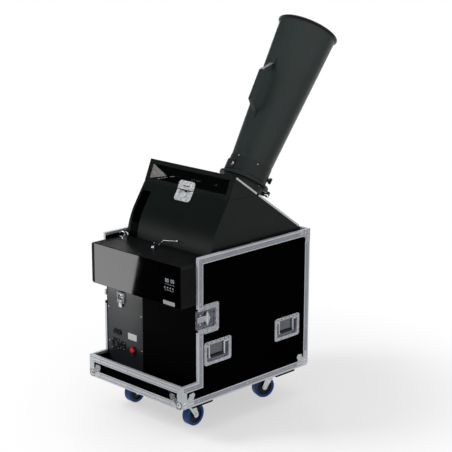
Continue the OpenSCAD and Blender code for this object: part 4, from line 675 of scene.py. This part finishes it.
# Sockets: x, z, radius of the well, radius of the circle of pins, half pitch of the corner screws
MAINS = ((-233, 144, 15, 7.5, 19.5), (-185, 144, 11, 5.4, 14.5))
SIGNALS = ((-233, 202), (-205, 202))
SIGNAL_WELL, SIGNAL_PINS, SIGNAL_SCREW = 7, 3.4, 9.2
WELL_Z, COLLAR_Z, FLANGE_T = -12.9, 2.95, 3.0
STOP_AT = (-112, 142)
pins, collars, screws, stop_ring = Shape(), Shape(), Shape(), Shape()


def three_pins(x, z, circle, start, profile, sides):
    for a in (start, start + 120, start + 240):
        px, pz = x + circle * math.cos(math.radians(a)), z + circle * math.sin(math.radians(a))
        pins.lathe(plate @ shift(px, pz, WELL_Z), profile, sides)


def socket_collar(x, z, r):
    profile = [(r + 0.1, 0), (r + 0.1, 0), (r + 2.6, 0), (r + 2.4, 1.0), (r + 0.4, 1.2), (r + 0.1, 0.6)]
    collars.lathe(plate @ shift(x, z, COLLAR_Z), profile, 40)


for x, z, well, circle, half in MAINS:
    three_pins(x, z, circle, 90, [(1.7, 0), (1.7, 9.5), (1.2, 10.5)], 12)
    socket_collar(x, z, well)
    for sx in (-1, 1):
        for sz in (-1, 1):
            screws.screw(plate, x + sx * half, z + sz * half, 2.2, 1.2, FLANGE_T, 30 * sx + 10 * sz)
for x, z in SIGNALS:
    three_pins(x, z, SIGNAL_PINS, 30, [(0.9, 0), (0.9, 9.0), (0.5, 9.6)], 10)
    socket_collar(x, z, SIGNAL_WELL)
    for s in (-1, 1):
        screws.screw(plate, x + s * SIGNAL_SCREW, z - s * SIGNAL_SCREW, 1.5, 0.9, FLANGE_T, 25 * s)
pins.done("socket_pins", "base", "zinc", "zinc")
collars.done("socket_collars", "base", "black_trim", "socket")
screws.done("socket_screws", "base", "zinc", "zinc")
stop_ring.lathe(plate @ shift(*STOP_AT, 0), [(15.5, 0.02), (15.5, 1.2), (14.4, 1.9), (9.5, 1.9)], 40)
stop_ring.done("stop_ring", "base", "black_trim", "socket")

# Bright strips down the sides of the lid and the deck: painted highlight of the rounded sheet edges
HOOD_HALF, HIGHLIGHT_X, HIGHLIGHT_Z = 266, (266.02, 267.4), (-8.5, -0.5)
trim, lid_highlight = Shape(), Shape()
for s in (-1, 1):
    lo, hi = sorted((s * HIGHLIGHT_X[0], s * HIGHLIGHT_X[1]))
    for strip, start, end in ((trim, 176, 500), (lid_highlight, 6, 160)):
        strip.block(on_deck(), (lo, start, HIGHLIGHT_Z[0]), (hi, end, HIGHLIGHT_Z[1]), 0.5)
lid_highlight.done("lid_edge_highlight", "lid", "edging", "edging")
trim.done("deck_edge_highlight", "base", "edging", "edging")

# Screws of the deck, around the place where the barrel's axis meets it, and of the hood's sides
SCREW_OUT, SIDE_SCREW_Z = 104, 640
tilt, slope = math.radians(TILT), math.tan(math.radians(DECK_ANGLE))
rise = COLLAR[1] - TOP[1] + (COLLAR[0] - TOP[0]) * slope
foot_h = rise / (math.cos(tilt) + math.sin(tilt) * slope)
foot = shift(0, COLLAR[0] - foot_h * math.sin(tilt), COLLAR[1] - foot_h * math.cos(tilt))
deck_screws = Shape()
for sx in (-1, 1):
    for sy in (-1, 1):
        at = foot @ rot("X", -DECK_ANGLE)
        deck_screws.screw(at, sx * SCREW_OUT, sy * SCREW_OUT, 4.5, 2.2, 3.0, 15)
for s in (-1, 1):
    for y in (-150, 60, 300):
        at = shift(s * HOOD_HALF, 0, 0) @ rot("Z", 90 * s) @ rot("X", 90)
        deck_screws.screw(at, s * y, SIDE_SCREW_Z, 3.0, 1.3, 0.0, 40)
deck_screws.done("deck_screws", "base", "zinc", "zinc")

# Bolt and screws of the turning collar, screws of the fixed tube, rivets of the barrel's handle
CLAMP_ANGLE, CLAMP_H = -94.5, -52
COLLAR_SCREWS = ((-16, -29.5), (-7, -87.5), (-16, 150), (-16, 60))
FOOT_R, MOUTH_R, BARREL_L = 97.3, 138.3, 684.9
collar, tube_screws, handle_bolts = Shape(), Shape(), Shape()
head = [(6.5, 0), (6.5, 4.2), (5.4, 5.0), (3.2, 5.0), (2.8, 3.6)]
collar.lathe(radial(CLAMP_ANGLE, CLAMP_H, 104.5), head, 6, False)
collar.lathe(radial(CLAMP_ANGLE, CLAMP_H, 104.2), [(8.6, 0), (8.6, 1.0), (7.5, 1.3)], 28)
for h, angle in COLLAR_SCREWS:
    collar.screw(radial(angle, h, 98.6), 0, 0, 2.8, 1.4)
collar.done("collar_bolts", "barrel_assembly", "chrome", "chrome")
for angle in (-119, 0, 119):
    tube_screws.screw(radial(angle, -101, 99.6), 0, 0)
tube_screws.done("tube_screws", "base", "zinc", "zinc")
for h in (194, 459):
    for s in (-5, 5):
        at = radial(-90, h, FOOT_R + (MOUTH_R - FOOT_R) * h / BARREL_L + 3.0)
        handle_bolts.rivet(at, 0, s, 2.8, 1.6, 0.4)
handle_bolts.done("handle_rivets", "barrel_assembly", "barrel_paint", "barrel_paint")

# Camera
FOCAL_PX, FRAME_PX, SENSOR_MM = 1361.793, 452, 36.0
AZ, EL, ROLL = math.radians(44.512), math.radians(14.617), math.radians(0.218)
EYE = Vector((4.18161, -4.087855 - MIDDLE_Y / 1000, 2.201666 + DROP / 1000))
back = Vector((math.sin(AZ) * math.cos(EL), -math.cos(AZ) * math.cos(EL), math.sin(EL)))
flat = Vector((math.cos(AZ), math.sin(AZ), 0))
lift = back.cross(flat)
right_dir = flat * math.cos(ROLL) + lift * math.sin(ROLL)
up_dir = -flat * math.sin(ROLL) + lift * math.cos(ROLL)
data = bpy.data.cameras.new("photo_camera")
data.sensor_width = SENSOR_MM
data.lens = FOCAL_PX / FRAME_PX * SENSOR_MM
data.clip_end = 50.0
camera = bpy.data.objects.new("photo_camera", data)
camera.matrix_world = Matrix((right_dir, up_dir, back)).transposed().to_4x4()
camera.location = EYE
bpy.context.scene.collection.objects.link(camera)
bpy.context.scene.camera = camera


def bounce(px, py, plane_y):
    """Where the floor lies that pixel (px, py) sees in a mirror facing the front at plane_y."""
    middle = FRAME_PX / 2
    ray = right_dir * ((px - middle) / FOCAL_PX) - up_dir * ((py - middle) / FOCAL_PX) - back
    hit = EYE + ray * ((plane_y - EYE.y) / ray.y)
    out = Vector((ray.x, -ray.y, ray.z))
    return hit + out * (-hit.z / out.z)


# Floor and reflector cards
def stage_material(name, strength, fade=None):
    """Plain emission; fade gives an axis and the ramp along it that replaces the strength."""
    m = bpy.data.materials.new(name)
    m.use_nodes = True
    nt = m.node_tree
    nt.nodes.clear()
    out = nt.nodes.new("ShaderNodeOutputMaterial")
    e = nt.nodes.new("ShaderNodeEmission")
    e.inputs["Color"].default_value = (1, 1, 1, 1) if strength else (0, 0, 0, 1)
    e.inputs["Strength"].default_value = strength
    nt.links.new(e.outputs[0], out.inputs["Surface"])
    if fade:
        coords = nt.nodes.new("ShaderNodeTexCoord")
        split = nt.nodes.new("ShaderNodeSeparateXYZ")
        r = nt.nodes.new("ShaderNodeMapRange")
        nt.links.new(coords.outputs["Object"], split.inputs[0])
        nt.links.new(split.outputs[fade[0]], r.inputs["Value"])
        for key, value in zip(("From Min", "From Max", "To Min", "To Max"), fade[1:]):
            r.inputs[key].default_value = value
        nt.links.new(r.outputs[0], e.inputs["Strength"])
    return m


def card(name, points, material):
    """A card that only mirrors see."""
    mesh = bpy.data.meshes.new(name)
    mesh.from_pydata([tuple(p) for p in points], [], [list(range(len(points)))])
    obj = bpy.data.objects.new(name, mesh)
    bpy.context.scene.collection.objects.link(obj)
    obj.data.materials.append(material)
    obj.visible_camera = obj.visible_diffuse = obj.visible_shadow = obj.visible_transmission = False


def on_floor(name, outline, z, material):
    card(name, [(x, y, z) for x, y in outline], material)


# The floor is lit card near the object and turns to plain white paper further out
FLOOR_L, FLOOR_WHITE = 60, 0.93
FADE = (("From Min", 0.6), ("From Max", 1.5), ("To Min", 0.55))
floor_mat = bpy.data.materials.new("studio_floor")
floor_mat.use_nodes = True
nt = floor_mat.node_tree
floor_bsdf = next(n for n in nt.nodes if n.type == "BSDF_PRINCIPLED")
floor_bsdf.inputs["Base Color"].default_value = (FLOOR_WHITE, FLOOR_WHITE, FLOOR_WHITE, 1)
floor_bsdf.inputs["Roughness"].default_value = 0.9
floor_bsdf.inputs["Specular IOR Level"].default_value = 0.1
floor_out = next(n for n in nt.nodes if n.type == "OUTPUT_MATERIAL")
paper = nt.nodes.new("ShaderNodeEmission")
coords = nt.nodes.new("ShaderNodeTexCoord")
length = nt.nodes.new("ShaderNodeVectorMath")
length.operation = "LENGTH"
fade = nt.nodes.new("ShaderNodeMapRange")
fade.interpolation_type = "SMOOTHSTEP"
for key, value in FADE:
    fade.inputs[key].default_value = value
blend = nt.nodes.new("ShaderNodeMixShader")
nt.links.new(coords.outputs["Object"], length.inputs[0])
nt.links.new(length.outputs["Value"], fade.inputs["Value"])
nt.links.new(fade.outputs[0], blend.inputs[0])
nt.links.new(floor_bsdf.outputs[0], blend.inputs[1])
nt.links.new(paper.outputs[0], blend.inputs[2])
nt.links.new(blend.outputs[0], floor_out.inputs["Surface"])
bpy.ops.mesh.primitive_plane_add(size=FLOOR_L, location=(0, 0, 0))
floor = bpy.context.object
floor.name = "studio_floor"
floor.data.materials.append(floor_mat)

dark = stage_material("dark_reflector", 0.0)
on_floor("dark_reflector", [(-5, -5), (0.2, -5), (0.2, -0.78), (-5, -0.78)], 0.004, dark)
card("dark_front", [(-16, -7, 2.6), (5, -7, 2.6), (5, -7, 14), (-16, -7, 14)], dark)
card("dark_back", [(-18, 9, 0.2), (3, 9, 0.2), (3, 9, 16), (-18, 9, 16)], dark)
card("dark_left", [(-14, -7, 2.6), (-14, 9, 0.2), (-14, 9, 16), (-14, -7, 16)], dark)
beside = stage_material("side_reflector", 0.5, (0, 0.5, 3.5, 0.55, 0.12))
on_floor("side_reflector", [(0.45, -0.9), (9, -0.9), (9, 9), (0.45, 9)], 0.005, beside)

# Corners, in pixels, of the pale shapes that the photograph shows in the acrylic and in the connector plate
IN_ACRYLIC_PX = ((139.6, 252), (131.0, 298), (80, 298), (80, 235))
IN_PLATE_PX = ((143.0, 296), (143.0, 372), (100, 372), (100, 296))
MIRRORED_Z = 0.006
panel_y, plate_y = (PANEL_FACE - MIDDLE_Y) / 1000, (PLATE_Y - MIDDLE_Y) / 1000
high_points = [bounce(px, py, panel_y) for px, py in IN_ACRYLIC_PX]
low_points = [bounce(px, py, plate_y) for px, py in IN_PLATE_PX]
high = stage_material("bright_reflector", 3.6)
low = stage_material("low_reflector", 1.0, (1, low_points[0].y, low_points[1].y, 1.7, 0.2))
on_floor("bright_reflector", [(p.x, p.y) for p in high_points], MIRRORED_Z, high)
on_floor("low_reflector", [(p.x, p.y) for p in low_points], MIRRORED_Z, low)


# Lamps and world
def area(name, at, aim, size, watts):
    light = bpy.data.lights.new(name, "AREA")
    light.shape = "RECTANGLE"
    light.size, light.size_y = size
    light.energy = watts
    obj = bpy.data.objects.new(name, light)
    obj.location = at
    obj.rotation_euler = (Vector(aim) - Vector(at)).to_track_quat("-Z", "Y").to_euler()
    bpy.context.scene.collection.objects.link(obj)
    return obj


area("key_front_left", (-2.6, -3.2, 3.4), (0, 0, 0.8), (1.6, 2.2), 165).visible_glossy = False
area("top", (0.2, 0.2, 4.2), (0, 0, 0.6), (3.0, 3.0), 45)
area("rim_right", (3.6, 1.4, 2.6), (0, 0, 1.2), (0.8, 2.4), 4)
area("rim_back_left", (-2.8, 2.6, 2.4), (0, 0, 1.2), (0.8, 2.4), 30)

AMBIENT, PAPER = 0.32, 1.0
world = bpy.data.worlds.new("studio")
bpy.context.scene.world = world
world.use_nodes = True
nt = world.node_tree
nt.nodes.clear()
out = nt.nodes.new("ShaderNodeOutputWorld")
ambient = nt.nodes.new("ShaderNodeBackground")
backdrop = nt.nodes.new("ShaderNodeBackground")
for n, strength in ((ambient, AMBIENT), (backdrop, PAPER)):
    n.inputs["Color"].default_value = (1, 1, 1, 1)
    n.inputs["Strength"].default_value = strength
path = nt.nodes.new("ShaderNodeLightPath")
first = nt.nodes.new("ShaderNodeMath")
second = nt.nodes.new("ShaderNodeMath")
first.operation = second.operation = "MAXIMUM"
mix = nt.nodes.new("ShaderNodeMixShader")
nt.links.new(path.outputs["Is Camera Ray"], first.inputs[0])
nt.links.new(path.outputs["Is Glossy Ray"], first.inputs[1])
nt.links.new(first.outputs[0], second.inputs[0])
nt.links.new(path.outputs["Is Transmission Ray"], second.inputs[1])
nt.links.new(second.outputs[0], mix.inputs[0])
nt.links.new(ambient.outputs[0], mix.inputs[1])
nt.links.new(backdrop.outputs[0], mix.inputs[2])
nt.links.new(mix.outputs[0], out.inputs["Surface"])
bpy.context.scene.view_settings.view_transform = "Standard"

bpy.context.view_layer.update()
